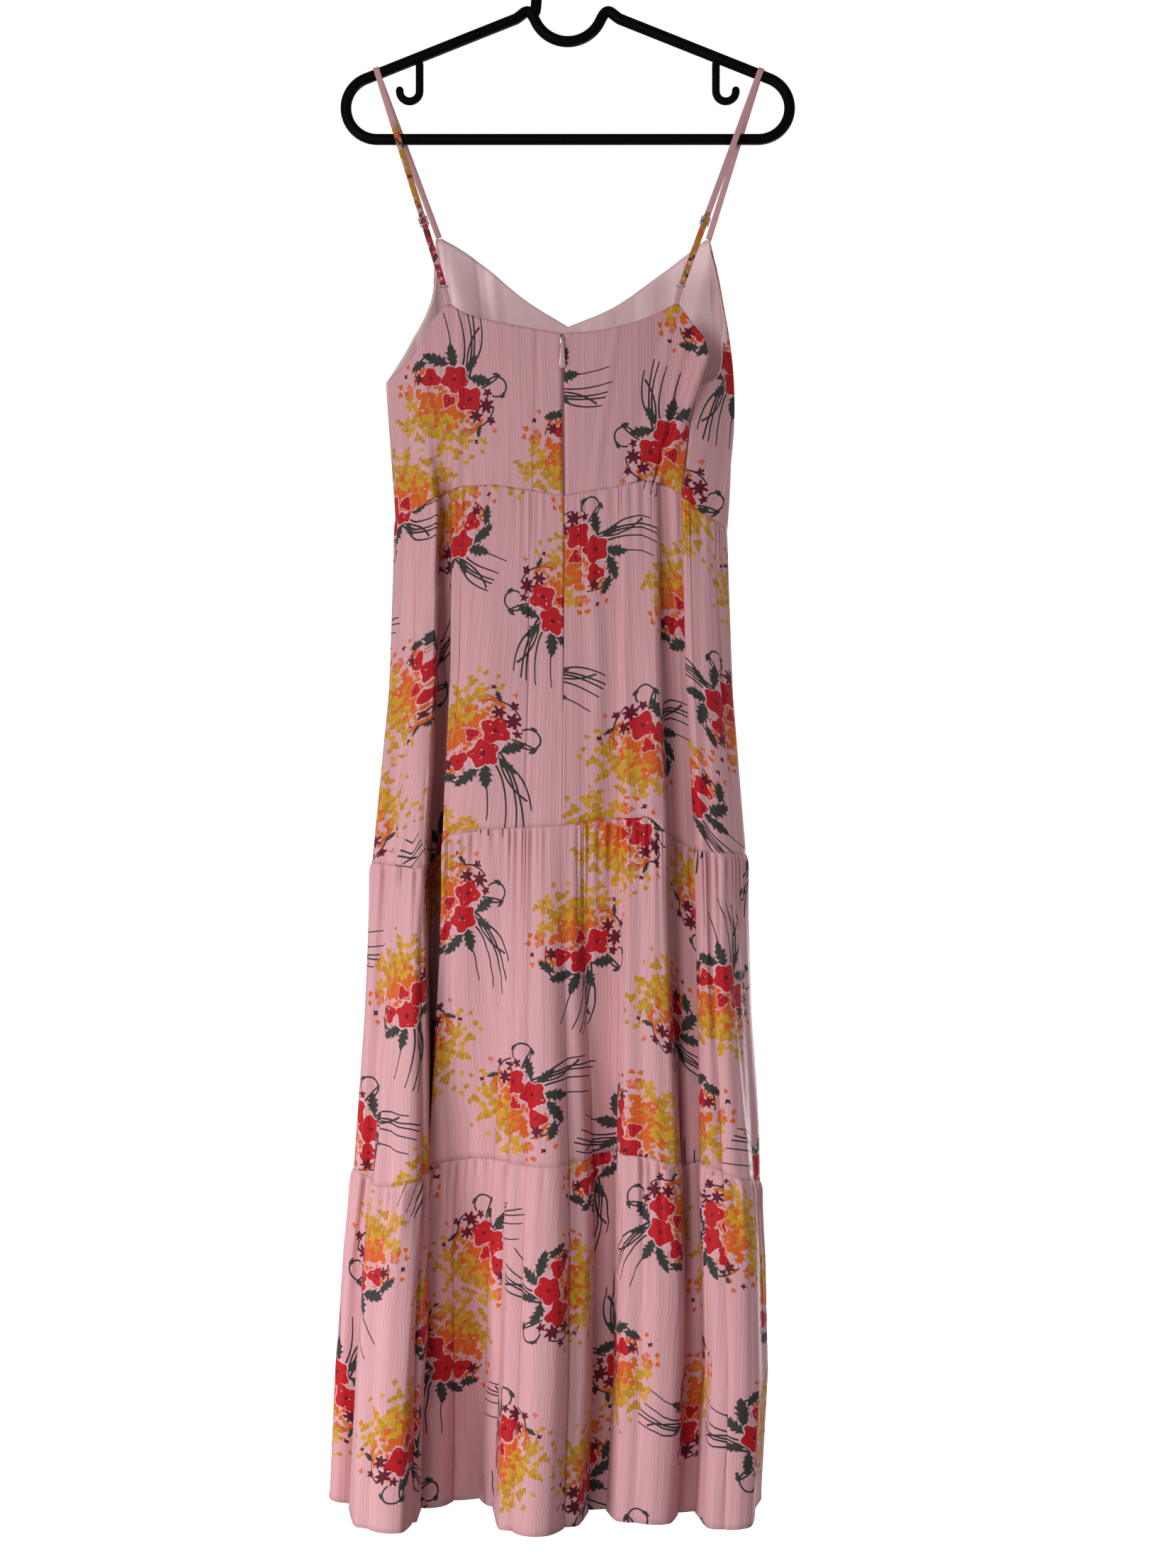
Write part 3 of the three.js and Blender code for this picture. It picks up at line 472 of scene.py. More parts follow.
# Level, left, right, near and far, in millimetres; level 0 is the waist seam and 3 the hem.
SKIRT_SECTIONS = np.array([
    (0.00, -158.5, 146.5, 42, 38),
    (0.50, -164.5, 152.0, 45, 42),
    (1.00, -180.0, 164.0, 46, 46),
    (1.50, -187.0, 168.5, 46, 50),
    (2.00, -197.0, 177.0, 46, 54),
    (2.25, -206.0, 182.0, 46, 57),
    (2.60, -214.0, 184.5, 46, 60),
    (3.00, -219.5, 178.0, 46, 64),
])
# Share of the width at the waist and the hem, then the fold's rise at waist, two seams and hem.
NEAR_FOLDS = np.array([
    (0.000, 0.000, 0, 0, 0, 0),
    (0.040, 0.065, -2, -6, -8, -14),
    (0.070, 0.105, 0, 5, 18, 34),
    (0.108, 0.155, 0, 8, 23, 40),
    (0.127, 0.183, 1, 5, 6, 10),
    (0.135, 0.190, -18, -60, -58, -58),
    (0.170, 0.212, -18, -56, -54, -54),
    (0.180, 0.226, -1, -5, -22, -32),
    (0.245, 0.285, 0, 0, -24, -56),
    (0.330, 0.355, 0, 2, -22, -64),
    (0.385, 0.400, 0, 2, -10, -40),
    (0.415, 0.428, 0, 2, 8, 22),
    (0.465, 0.480, 0, 3, 20, 37),
    (0.525, 0.545, 0, 2, 4, 12),
    (0.575, 0.585, 0, 0, -18, -33),
    (0.655, 0.655, 0, -4, -20, -34),
    (0.690, 0.695, 0, 7, 8, 4),
    (0.775, 0.755, 0, 12, 14, 12),
    (0.800, 0.790, -8, -20, -18, -18),
    (0.845, 0.862, -2, -8, -4, -20),
    (0.885, 0.900, 0, 2, 22, 36),
    (0.930, 0.940, 2, 6, 32, 46),
    (1.000, 1.000, 0, 0, 0, 0),
])
FAR_FOLDS = np.array([
    (0.00, 0.00, 0, 0, 0, 0),
    (0.10, 0.11, 0, 5, 12, 16),
    (0.19, 0.20, -3, -12, -18, -21),
    (0.30, 0.29, 0, 4, 10, 13),
    (0.42, 0.43, -2, -8, -12, -14),
    (0.53, 0.54, 0, 5, 12, 16),
    (0.64, 0.66, -3, -11, -17, -22),
    (0.76, 0.77, 0, 5, 12, 15),
    (0.88, 0.88, -3, -9, -12, -14),
    (1.00, 1.00, 0, 0, 0, 0),
])
# Share of the width, then the heights of the waist seam, the two tier seams and the hem.
NEAR_HEIGHTS = np.array([
    (0.00, -556, -872, -1154, -1457),
    (0.06, -551, -874, -1163, -1462),
    (0.12, -541, -876, -1162, -1466),
    (0.15, -534, -874, -1157, -1466),
    (0.21, -530, -846, -1147, -1466),
    (0.30, -529, -841, -1142, -1466),
    (0.51, -539, -837, -1142, -1467),
    (0.66, -531, -831, -1133, -1466),
    (0.74, -525, -830, -1137, -1466),
    (0.81, -527, -852, -1148, -1466),
    (0.86, -537, -860, -1142, -1466),
    (0.92, -553, -862, -1150, -1465),
    (1.00, -567, -865, -1166, -1459),
])
FAR_HEIGHTS = np.array([
    (0.00, -556, -872, -1154, -1457),
    (0.50, -550, -862, -1152, -1462),
    (1.00, -567, -865, -1166, -1459),
])
# Creases of each panel: start and end as shares across and down it, height of the ridge (a
# trough is below 0) and half width in millimetres.
TIER_CREASES = {
    "tier_1_back_left": (
        (0.1, 0.02, 0.04, 0.95, -3.4, 8), (0.2, 0.3, 0.16, 0.98, 2.2, 7),
        (0.52, 0.05, 0.56, 0.7, -1.6, 9), (0.66, 0.25, 0.63, 1, 2, 12),
        (0.8, 0.08, 0.84, 0.85, -1.7, 10),
    ),
    "tier_1_back_right": (
        (0.22, 0.1, 0.26, 0.9, 1.8, 10), (0.45, 0.02, 0.42, 0.6, -1.4, 8),
        (0.7, 0.2, 0.62, 1, 2.4, 9),
    ),
    "tier_1_front": (
        (0.1, 0.05, 0.14, 0.9, -2.6, 10), (0.24, 0.2, 0.2, 1, 2.2, 11),
        (0.4, 0.02, 0.44, 0.75, -2, 9), (0.58, 0.15, 0.55, 1, 2.6, 12),
        (0.74, 0.05, 0.77, 0.8, -2.3, 8), (0.9, 0.1, 0.86, 0.95, 2, 9),
    ),
    "tier_2_back": (
        (0.09, 0.05, 0.06, 0.98, -2.8, 9), (0.42, 0.1, 0.45, 0.92, -2.4, 10),
        (0.52, 0.2, 0.5, 1, 2.6, 12), (0.61, 0.02, 0.63, 0.66, -2, 8),
        (0.73, 0.15, 0.7, 1, 2.2, 9),
    ),
    "tier_2_front": (
        (0.08, 0.02, 0.11, 0.85, -2.6, 10), (0.21, 0.2, 0.18, 1, 2.8, 12),
        (0.36, 0.05, 0.4, 0.8, -2.9, 10), (0.52, 0.1, 0.49, 1, 2.2, 11),
        (0.67, 0.02, 0.7, 0.72, -2.2, 9), (0.86, 0.15, 0.83, 1, 2.6, 12),
    ),
    "tier_3_back": (
        (0.06, 0.05, 0.04, 0.98, -3, 8), (0.13, 0.1, 0.15, 0.9, 2.4, 9),
        (0.24, 0.05, 0.37, 0.96, 3.2, 12), (0.44, 0.15, 0.42, 1, -2.6, 9),
        (0.57, 0.02, 0.59, 0.8, -2.4, 8), (0.69, 0.1, 0.67, 1, 2.8, 10),
        (0.81, 0.05, 0.84, 0.9, -2.2, 8),
    ),
    "tier_3_front": (
        (0.07, 0.05, 0.05, 0.98, 3, 12), (0.19, 0.02, 0.22, 0.85, -2.8, 10),
        (0.33, 0.1, 0.3, 1, 2.6, 11), (0.48, 0.05, 0.51, 0.9, -3.2, 12),
        (0.62, 0.15, 0.6, 1, 2.4, 9), (0.77, 0.02, 0.8, 0.8, -2.6, 10),
        (0.92, 0.1, 0.9, 1, 2.8, 11),
    ),
}


def by_level(four, level):
    """Straight-line mix of the values at levels 0, 1, 2 and 3, for each level asked."""
    return sum(four[j] * np.clip(1 - np.abs(level - j), 0, 1) for j in range(4))


def fold_rise(folds, share, level):
    """Each fold hands over to the next by a smooth step across the width between their places."""
    rise = by_level(folds[0, 2:], level)
    crisp = FOLD_CRISP - 0.45 * np.clip((level - 2.3) / 0.7, 0, 1)
    for here, after in zip(folds[:-1], folds[1:]):
        place = here[0] + (here[1] - here[0]) * level / 3
        next_place = after[0] + (after[1] - after[0]) * level / 3
        blend = np.clip((share - place) / (next_place - place), 0, 1)
        blend = np.clip((blend - 0.5) * crisp + 0.5, 0, 1)
        soft = blend * blend * (3 - 2 * blend)
        rise = rise + (by_level(after[2:], level) - by_level(here[2:], level)) * soft
    return rise


def height_at(heights, share, level):
    """Height in millimetres: each seam's own line across the width, mixed by level."""
    seams = [np.interp(share, heights[:, 0], heights[:, 1 + j]) for j in range(4)]
    return by_level(seams, level)


def signed_power(value, power):
    """The value's size raised to a power, with the value's own sign."""
    return np.sign(value) * np.abs(value) ** power


def skirt_point(turn, level, folded=1):
    """Ring of power 2.4 with folds. Turn 0 to 1 is the near half from left to right, 1 to 2
    the far half back; x and y are powers of the turn's cosine and sine. With folded 0 the ring
    is smooth."""
    turn = np.mod(turn, 2)
    across = np.cos(np.pi * turn)
    around = np.sin(np.pi * turn)
    share = (1 - signed_power(across, RING_BEND)) / 2
    left, right, near, far = (
        np.interp(level, SKIRT_SECTIONS[:, 0], SKIRT_SECTIONS[:, 1 + j]) for j in range(4)
    )
    is_near = around >= 0
    hump = np.abs(around) ** RING_BEND
    near_y = -(near * hump + folded * fold_rise(NEAR_FOLDS, share, level))
    far_y = far * hump + folded * fold_rise(FAR_FOLDS, share, level)
    near_z = height_at(NEAR_HEIGHTS, share, level)
    far_z = height_at(FAR_HEIGHTS, share, level)
    x = left + (right - left) * share
    return np.stack([x, np.where(is_near, near_y, far_y), np.where(is_near, near_z, far_z)], axis=-1)


def unit(ways):
    """Each way over its own length."""
    return ways / np.linalg.norm(ways, axis=-1, keepdims=True)


def skirt_normal(turn, level):
    """Outward way of the ring, from the cross product of short steps down and round it."""
    along = skirt_point(turn + 0.003, level) - skirt_point(turn - 0.003, level)
    lower = skirt_point(turn, np.minimum(level + 0.02, 3))
    upper = skirt_point(turn, np.maximum(level - 0.02, 0))
    return unit(np.cross(lower - upper, along))


def turn_of_share(share):
    """Turn whose near point lies at a share of the width: the ring's formula run backwards."""
    return np.arccos(signed_power(1 - 2 * share, 1 / RING_BEND)) / np.pi


def run_lengths(points):
    """Length along each row of points, from its first point to each of its points."""
    steps = np.linalg.norm(np.diff(points, axis=-2), axis=-1)
    return np.concatenate([np.zeros_like(steps[..., :1]), np.cumsum(steps, axis=-1)], axis=-1)


def even_turns(from_turn, to_turn, count):
    """Turns at equal lengths of cloth round the ring, measured in the last tier's upper part."""
    turns = np.linspace(from_turn, to_turn, 1500)
    lengths = run_lengths(skirt_point(turns, np.full_like(turns, MEASURED_LEVEL)))
    return np.interp(np.linspace(0, lengths[-1], count), lengths, turns), lengths[-1]


def gather_relief(around, drop, spacing, depth, reach):
    """Gathers: a wave across the cloth whose spacing wanders, strongest just under the seam and
    dying away down the tier over a reach that changes from place to place."""
    wander = 0.8 * np.sin(around / 31 + 1) + 0.6 * np.sin(around / 13.7)
    wave = np.sin(2 * np.pi * around / spacing + wander) + 0.45 * np.sin(
        2 * np.pi * around / (spacing * 1.83) + 2 * wander
    )
    local_reach = reach * (0.65 + 0.6 * np.sin(around / 23.0 + 2) * np.sin(around / 57.0))
    fade = (1 - np.exp(-drop / 5)) * np.exp(-drop / np.maximum(local_reach, 8))
    return wave * depth * (0.015 + fade)


def overhang(turn, level):
    """Side shift of the near folds' flanks: steep flanks lean out over the hollow beside them,
    by up to OVERHANG millimetres, while crests and hollows stay where they are."""
    step = skirt_point(turn + 0.002, level) - skirt_point(turn - 0.002, level)
    slope = step[..., 1] / np.maximum(np.abs(step[..., 0]), 1e-6)
    steep = slope / np.sqrt(1 + slope * slope)
    middle = np.clip(np.sin(np.pi * np.mod(turn, 2)) * 4 - 1.2, 0, 1) * np.clip(level - 1.2, 0, 1)
    shift = np.zeros_like(step)
    shift[..., 0] = OVERHANG * steep * np.abs(steep) * middle
    return shift


def zip_groove(off, height):
    """Cloth rolls in to the centre back seam: a narrow dip with a low ridge on either side, deep
    down to the zip's foot and shallow below it."""
    depth = 0.7 + 3.0 * np.clip((height - ZIP_FOOT_Z) / 12 + 0.5, 0, 1)
    return 0.7 * np.exp(-((off / 6) ** 2)) - depth * np.exp(-((off / 1.8) ** 2))


def crease_relief(creases, across, down, width, drop):
    """Sum of a panel's listed creases: each is a soft trough or ridge about a line, bell
    shaped across it and fading to nothing at both ends, bowed a little to one side."""
    relief = np.zeros_like(across)
    for start_x, start_z, end_x, end_z, depth, half_width in creases:
        way_x = (end_x - start_x) * width
        way_z = (end_z - start_z) * drop
        reach = np.hypot(way_x, way_z)
        x = (across - start_x) * width
        z = (down - start_z) * drop
        along = (x * way_x + z * way_z) / reach**2
        fade = np.sin(np.pi * np.clip(along, 0, 1)) ** 0.7
        off = (x * way_z - z * way_x) / reach - reach * 0.04 * fade
        relief += depth * fade * np.exp(-((off / half_width) ** 2))
    return relief


BACK_TURN = turn_of_share(CENTRE_BACK)
SIDE_TURN = turn_of_share(SIDE_SEAM)
LEFT_TURNS, LEFT_LENGTH = even_turns(0, BACK_TURN, 216)
RIGHT_TURNS, RIGHT_LENGTH = even_turns(BACK_TURN, SIDE_TURN, 144)
BACK_TURNS, BACK_LENGTH = even_turns(0, SIDE_TURN, 360)
FRONT_TURNS, FRONT_LENGTH = even_turns(SIDE_TURN, 2, 420)


def tier_panel(node, top_level, turns, start_length, length, flat):
    """Panel of a tier: ring points moved along their normals by gathers, creases and a turned
    hem, whose edge stands proud above a shallow stitched groove. The print's way across a row is
    that row's own length, stretched to the middle row's."""
    turn, level = np.meshgrid(turns, top_level + np.linspace(0, 1, TIER_ROWS) ** 1.25)
    base = skirt_point(turn, level)
    normal = skirt_normal(turn, level)
    around = start_length + np.linspace(0, length, len(turns))[None, :] + 0 * turn
    across = np.linspace(0, 1, len(turns))[None, :] + 0 * turn
    drop = base[:1, :, 2] - base[:, :, 2]
    height = drop[-1].max()
    relief = gather_relief(around, drop, *TIERS[top_level])
    relief = relief + crease_relief(TIER_CREASES[node], across, drop / height, length, height)
    relief = relief * np.clip(np.abs(turn - BACK_TURN) / 0.05, 0, 1)
    if top_level == 2:
        to_hem = drop[-1:] - drop
        relief = relief + 0.5 * np.clip((7 - to_hem) / 1.5, 0, 1)
        relief = relief - 0.7 * np.exp(-(((to_hem - 8) / 1.5) ** 2))
    if top_level == 0:
        relief = relief + zip_groove(around - LEFT_LENGTH, base[..., 2])
    base = base + overhang(turn, level)
    seam_hold = np.exp(-drop / 8)[..., None]
    way = normal * (1 - seam_hold) + unit(normal * np.array([1, 1, 0])) * seam_hold
    points = base + way * relief[..., None]
    laid = run_lengths(base)
    laid = start_length + laid * laid[TIER_ROWS // 2, -1] / laid[:, -1:]
    if node == "tier_1_back_left":
        laid = laid + SIDE_LEAN * np.clip((105 - across * length) / 20, 0, 1) * drop
    uv = np.stack([laid, -drop], axis=-1) * 0.001 + TIER_PRINT * top_level
    dress_cloth(f"{node}_cloth", node, points, uv, printed, reverse)


# Node, tier, turns, where its cloth starts, its length, and the size it was cut to.
TIER_PANELS = (
    ("tier_1_back_left", 0, LEFT_TURNS, 0, LEFT_LENGTH, (0.27, 0.34)),
    ("tier_1_back_right", 0, RIGHT_TURNS, LEFT_LENGTH, RIGHT_LENGTH, (0.155, 0.33)),
    ("tier_1_front", 0, FRONT_TURNS, BACK_LENGTH, FRONT_LENGTH, (0.475, 0.33)),
    ("tier_2_back", 1, BACK_TURNS, 0, BACK_LENGTH, (0.51, 0.32)),
    ("tier_2_front", 1, FRONT_TURNS, BACK_LENGTH, FRONT_LENGTH, (0.6, 0.32)),
    ("tier_3_back", 2, BACK_TURNS, 0, BACK_LENGTH, (0.66, 0.33)),
    ("tier_3_front", 2, FRONT_TURNS, BACK_LENGTH, FRONT_LENGTH, (0.7, 0.32)),
)
for row in TIER_PANELS:
    tier_panel(*row)


# Bodice
# Two back panels either side of the zip and one front panel that wraps to the right side seam,
# cut from the printed chiffon over a plain satin lining.
UNDERARM_LEFT = (-167.7, 0, -429.7)
UNDERARM_RIGHT = (114.3, -34, -438)
CENTRE_BACK_TOP = (-4.6, -44, -392.6)
# Top edge of each panel: where it starts, then its runs: columns of cloth, and the points that
# the run's curve passes on its way to its last.
BACK_LEFT_TOP = (
    UNDERARM_LEFT,
    (7, (-146, -21, -411), (-134, -28, -401), (-124, -32, -381), (-110.6, -34, -365)),
    (1, (-104.6, -34.5, -365)),
    (10, (-93, -36, -372.5), (-58, -41, -382.5), CENTRE_BACK_TOP),
)
BACK_RIGHT_TOP = (
    CENTRE_BACK_TOP,
    (7, (30, -43.5, -389.5), (68, -40, -379), (95.9, -34.5, -365)),
    (1, (101.9, -34, -365)),
    (4, (112.5, -38, -381), (124.5, -43, -399), (126, -43, -410), (119, -39, -424), UNDERARM_RIGHT),
)
FRONT_TOP = (
    UNDERARM_RIGHT,
    (10, (138, -20, -427), (145, -6, -395), (141, 4, -345), (133.9, 20, -293)),
    (1, (128.5, 21, -293)),
    (11, (93, 31, -318), (42, 38, -352), (0, 41, -369)),
    (11, (-40, 38, -345), (-81, 31, -313), (-117.7, 21, -291.5)),
    (1, (-123.1, 20, -291.5)),
    (8, (-127, 15, -345), (-146, 5, -393), UNDERARM_LEFT),
)
BODICE_ROWS = 56
BUST_RISE = 9
# Where the bodice was cut from the print, in metres.
BODICE_PRINT = np.array([0.045, 0.115])
# How far the front stands out beyond its right armhole's edge.
SIDE_BULGE = 13
COLUMN_SPLIT = 6
LINING_DEPTH = 1.5
BODICE_CREASES = {
    "bodice_back_left": (
        (0.2, 0.22, 0.06, 0.92, -3.2, 5), (0.27, 0.18, 0.15, 0.8, 2.2, 7),
        (0.52, 1, 0.47, 0.55, 1.3, 6), (0.86, 0.98, 0.9, 0.62, -1, 5),
    ),
    "bodice_back_right": (
        (0.7, 0.1, 0.56, 0.72, 1.8, 8), (0.81, -0.05, 0.93, 0.66, 3.2, 4.2),
        (0.73, -0.02, 0.86, 0.6, -2, 4), (0.83, 0.25, 0.74, 0.95, -2.6, 5),
        (0.24, 1, 0.3, 0.6, 1.2, 6),
    ),
    "bodice_front": (
        (0.03, 0.55, 0.12, 0.96, -2.8, 5), (0.01, 0.72, 0.09, 1, 1.8, 4),
        (0.2, 0.12, 0.3, 0.75, -1.8, 8), (0.36, 0.95, 0.31, 0.5, 2, 7),
        (0.5, 0.25, 0.44, 0.92, -1.6, 9), (0.62, 0.98, 0.68, 0.45, 2.1, 8),
        (0.8, 0.15, 0.72, 0.8, -2, 7), (0.93, 0.35, 0.86, 0.98, -2.4, 6),
    ),
    "lining_cloth": (
        (0.3, 0.05, 0.4, 0.42, -2.6, 4), (0.36, 0.02, 0.47, 0.3, -2, 3),
        (0.62, 0.28, 0.7, 0.02, -2.4, 4), (0.55, 0.35, 0.66, 0.12, -1.8, 3),
        (0.78, 0.2, 0.72, 0.6, -2.2, 5),
    ),
}
# Node, top edge, turns it spans, how far it rounds outwards, where its cloth starts, and the
# size it was cut to.
BODICE_PANELS = (
    ("bodice_back_left", BACK_LEFT_TOP, 0, BACK_TURN, 0, 0, (0.2, 0.18)),
    ("bodice_back_right", BACK_RIGHT_TOP, BACK_TURN, SIDE_TURN, 0, LEFT_LENGTH, (0.125, 0.18)),
    ("bodice_front", FRONT_TOP, SIDE_TURN, 2, BUST_RISE, BACK_LENGTH, (0.4, 0.24)),
)


def at_lengths(path, stops):
    """Points of a path at the given lengths along it."""
    lengths = run_lengths(path)
    return np.stack([np.interp(stops, lengths, column) for column in path.T], axis=-1)


def smooth_curve(places, count):
    """Curve through the places, evenly spaced: between two of them a cubic whose slopes come
    from their neighbours, weighed by the square roots of the distances between them."""
    p = np.array(places, dtype=float)
    p = np.concatenate([[2 * p[0] - p[1]], p, [2 * p[-1] - p[-2]]])
    knots = np.maximum(np.sqrt(np.linalg.norm(np.diff(p, axis=0), axis=1)), 1e-4)
    pieces = []
    for i in range(1, len(p) - 2):
        d0, d1, d2 = knots[i - 1], knots[i], knots[i + 1]
        m1 = ((p[i] - p[i - 1]) / d0 - (p[i + 1] - p[i - 1]) / (d0 + d1) + (p[i + 1] - p[i]) / d1) * d1
        m2 = ((p[i + 1] - p[i]) / d1 - (p[i + 2] - p[i]) / (d1 + d2) + (p[i + 2] - p[i + 1]) / d2) * d1
        t = np.linspace(0, 1, 41)[:, None]
        c2 = -3 * p[i] + 3 * p[i + 1] - 2 * m1 - m2
        c3 = 2 * p[i] - 2 * p[i + 1] + m1 + m2
        pieces.append((p[i] + m1 * t + c2 * t * t + c3 * t**3)[: 40 if i < len(p) - 3 else 41])
    curve = np.concatenate(pieces)
    return at_lengths(curve, np.linspace(0, run_lengths(curve)[-1], count))


def top_edge(start, *runs):
    """Top edge of a panel: each run's curve, with its columns split finer for the cloth."""
    edge = [np.array([start])]
    for columns, *places in runs:
        edge.append(smooth_curve([start, *places], columns * COLUMN_SPLIT + 1)[1:])
        start = places[-1]
    return np.concatenate(edge)


def bodice_panel(name, edge_runs, from_turn, to_turn, bulge, start_length):
    """Panel of cloth: straight lines from the top edge down to the waist ring, the front one
    rounded outwards over the bust, with small puckers where it is eased into the waist seam."""
    top = top_edge(*edge_runs)
    columns = len(top)
    turns, _ = even_turns(from_turn, to_turn, columns)
    foot = skirt_point(turns, np.zeros(columns), folded=0)
    foot_folds = skirt_point(turns, np.zeros(columns)) - foot
    rows = np.linspace(0, 1, BODICE_ROWS)
    down, across = np.meshgrid(rows, np.linspace(0, 1, columns), indexing="ij")
    points = top[None] * (1 - down[..., None]) + foot[None] * down[..., None]
    points[..., 1] += np.sin(np.pi * down) * bulge * np.sin(np.pi * across)
    way = unit(np.cross(np.gradient(points, axis=0), np.gradient(points, axis=1)))
    around = start_length + run_lengths(points[..., :2])
    rise = foot[None, :, 2] - points[..., 2]
    points = points + foot_folds[None] * down[..., None] ** 6
    if name == "bodice_front":
        side = np.exp(-(((across - 0.12) / 0.09) ** 2))
        points[..., 0] += SIDE_BULGE * side * np.sin(np.pi * down) ** 0.7
    pucker = 0.5 * np.sin(around / 2.6 + np.sin(around / 17)) * np.exp(rise / 14)
    edge = np.clip(np.minimum(across, 1 - across) / 0.04, 0, 1)
    width = around[-1, -1] - around[-1, 0]
    creases = crease_relief(BODICE_CREASES[name], across, down, width, rise.max())
    relief = (pucker + creases) * edge
    zip_edges = {"bodice_back_left": around[:, -1:], "bodice_back_right": around[:, :1]}
    if name in zip_edges:
        relief = relief + zip_groove(around - zip_edges[name], points[..., 2])
    points = points + way * relief[..., None]
    uv = np.stack([around, points[..., 2] + 560], axis=-1) * 0.001 + BODICE_PRINT
    creases = crease_relief(BODICE_CREASES["lining_cloth"], across, down, width, rise.max())
    inner = creases * edge - LINING_DEPTH
    return points, points + way * inner[..., None], uv


def grained(name, dark, light, grain, detail, spread, rough, bump=None, **shine):
    """Plain material whose colour runs from dark to light with a noise of so many grains to a
    metre; a pair of roughnesses runs with it, and so does the bump, by its strength and depth."""
    material, tree, shader = node_material(name)
    place = tree.nodes.new("ShaderNodeTexCoord").outputs["Object"]
    sized = add_node(tree, "ShaderNodeMapping", {"Vector": place, "Scale": tuple(grain * np.ones(3))})
    inputs = {"Vector": sized.outputs[0], "Scale": 1.0, "Detail": detail}
    noise = add_node(tree, "ShaderNodeTexNoise", inputs)
    tone = Term(noise.outputs[0]).ramp(0.5 - spread, 0.5 + spread)
    if isinstance(rough, tuple):
        rough = tone * (rough[1] - rough[0]) + rough[0]
    fill(shader, {"Base Color": paint(dark, light, tone), "Roughness": rough})
    fill(shader, {socket.replace("_", " "): value for socket, value in shine.items()})
    if bump:
        inputs = {"Height": tone, "Strength": bump[0], "Distance": bump[1]}
        fill(shader, {"Normal": add_node(tree, "ShaderNodeBump", inputs).outputs[0]})
    return material


lining = grained(
    "satin lining", (0.96, 0.64, 0.66), (1.0, 0.70, 0.72), np.array([260.0, 260.0, 1800.0]),
    detail=2.0, spread=0.2, rough=0.42, bump=(0.2, 0.0002), Sheen_Weight=0.1,
)
for name, *form, flat in BODICE_PANELS:
    points, inner, uv = bodice_panel(name, *form)
    dress_cloth(f"{name}_cloth", name, points, uv, printed, lining)
    if name == "bodice_front":
        node = "bodice_front_lining"
        dress_cloth("lining_cloth", node, inner, uv, lining, lining)


# Hanger
# One moulded black plastic hanger: a closed round bar with a dip between its shoulders, a
# hook, and two small notches for straps under the shoulders. What the photo cuts off the hook's
# top is finished plainly.
HANGER_BAR = 5.0
LOOP_X = 176.0
LOOP_Z = -175.4
LOOP_RADIUS = 29.0
SHOULDER_DEGREES = 21.7
SHOULDER_ANGLE = np.radians(SHOULDER_DEGREES)
SHOULDER_TOP_X = LOOP_X + LOOP_RADIUS * np.sin(SHOULDER_ANGLE)
SHOULDER_TOP_Z = LOOP_Z + LOOP_RADIUS * np.cos(SHOULDER_ANGLE)
DIP_RADIUS = 33.0
DIP_BOTTOM_Z = -114.0
DIP_HALF_WIDTH = 30.0
HOOK_X = 28.8
HOOK_FOOT = (-31.5, -91.0)
HOOK_BEND_Z = -68.0
NOTCH_X = 136.9
NOTCH_RADIUS = 9.2
NOTCH_BAR = 3.6


def shoulder_z(x):
    """Height of the shoulder bar's middle at a distance from the centre: a straight slope."""
    return SHOULDER_TOP_Z + (SHOULDER_TOP_X - np.abs(x)) * np.tan(SHOULDER_ANGLE)


def arc(centre_x, centre_z, radius, start, end, count):
    """Points on a circle in the XZ plane from one angle to another, in degrees from +X."""
    angle = np.radians(np.linspace(start, end, count))
    return np.stack([centre_x + radius * np.cos(angle), centre_z + radius * np.sin(angle)], axis=-1)


def bezier(corners, count):
    """Smooth curve from the first corner to the last, drawn towards those between."""
    t = np.linspace(0, 1, count)[:, None]
    level = [np.array(corner, dtype=float) for corner in corners]
    while len(level) > 1:
        level = [a * (1 - t) + b * t for a, b in zip(level[:-1], level[1:])]
    return level[0]


def round_bar(path, radius, sides, closed):
    """Circle of the given radius carried along a path of x and z, square to the path."""
    before = np.roll(path, 1, axis=0)
    after = np.roll(path, -1, axis=0)
    if not closed:
        before[0] = path[0]
        after[-1] = path[-1]
    way = unit(after - before)
    angle = np.linspace(0, 2 * np.pi, sides, endpoint=False)
    radius = np.broadcast_to(radius, len(path))[:, None]
    x = path[:, :1] + way[:, 1:] * radius * np.cos(angle)
    z = path[:, 1:] - way[:, :1] * radius * np.cos(angle)
    y = radius * np.sin(angle) + 0 * path[:, :1]
    return np.stack([x, y, z], axis=-1)


def close_ring(thing):
    """Merges doubled points where a bar's or a plate's mesh meets itself, and points its faces
    outwards."""
    shape = bmesh.new()
    shape.from_mesh(thing.data)
    bmesh.ops.remove_doubles(shape, verts=shape.verts, dist=1e-6)
    bmesh.ops.recalc_face_normals(shape, faces=shape.faces)
    shape.to_mesh(thing.data)
    shape.free()


def hanger_bar(name, node, path, radius, sides, closed):
    """Black bar that stands for a hanger node."""
    points = round_bar(path, radius, sides, closed)
    if closed:
        points = np.concatenate([points, points[:1]])
    bar = add_object(name, grid_mesh(name, points * 0.001, loops=True, capped=not closed), black)
    close_ring(bar)
    stands_for(bar, node)


def rounded_ends(path, radius):
    """Radii along an open path that shrink to the tips like a ball's profile."""
    lengths = run_lengths(path)
    tip = np.minimum(lengths, lengths[-1] - lengths)
    return radius * np.sqrt(np.clip(1 - (1 - np.clip(tip / radius, 0.02, 1)) ** 2, 0, 1))


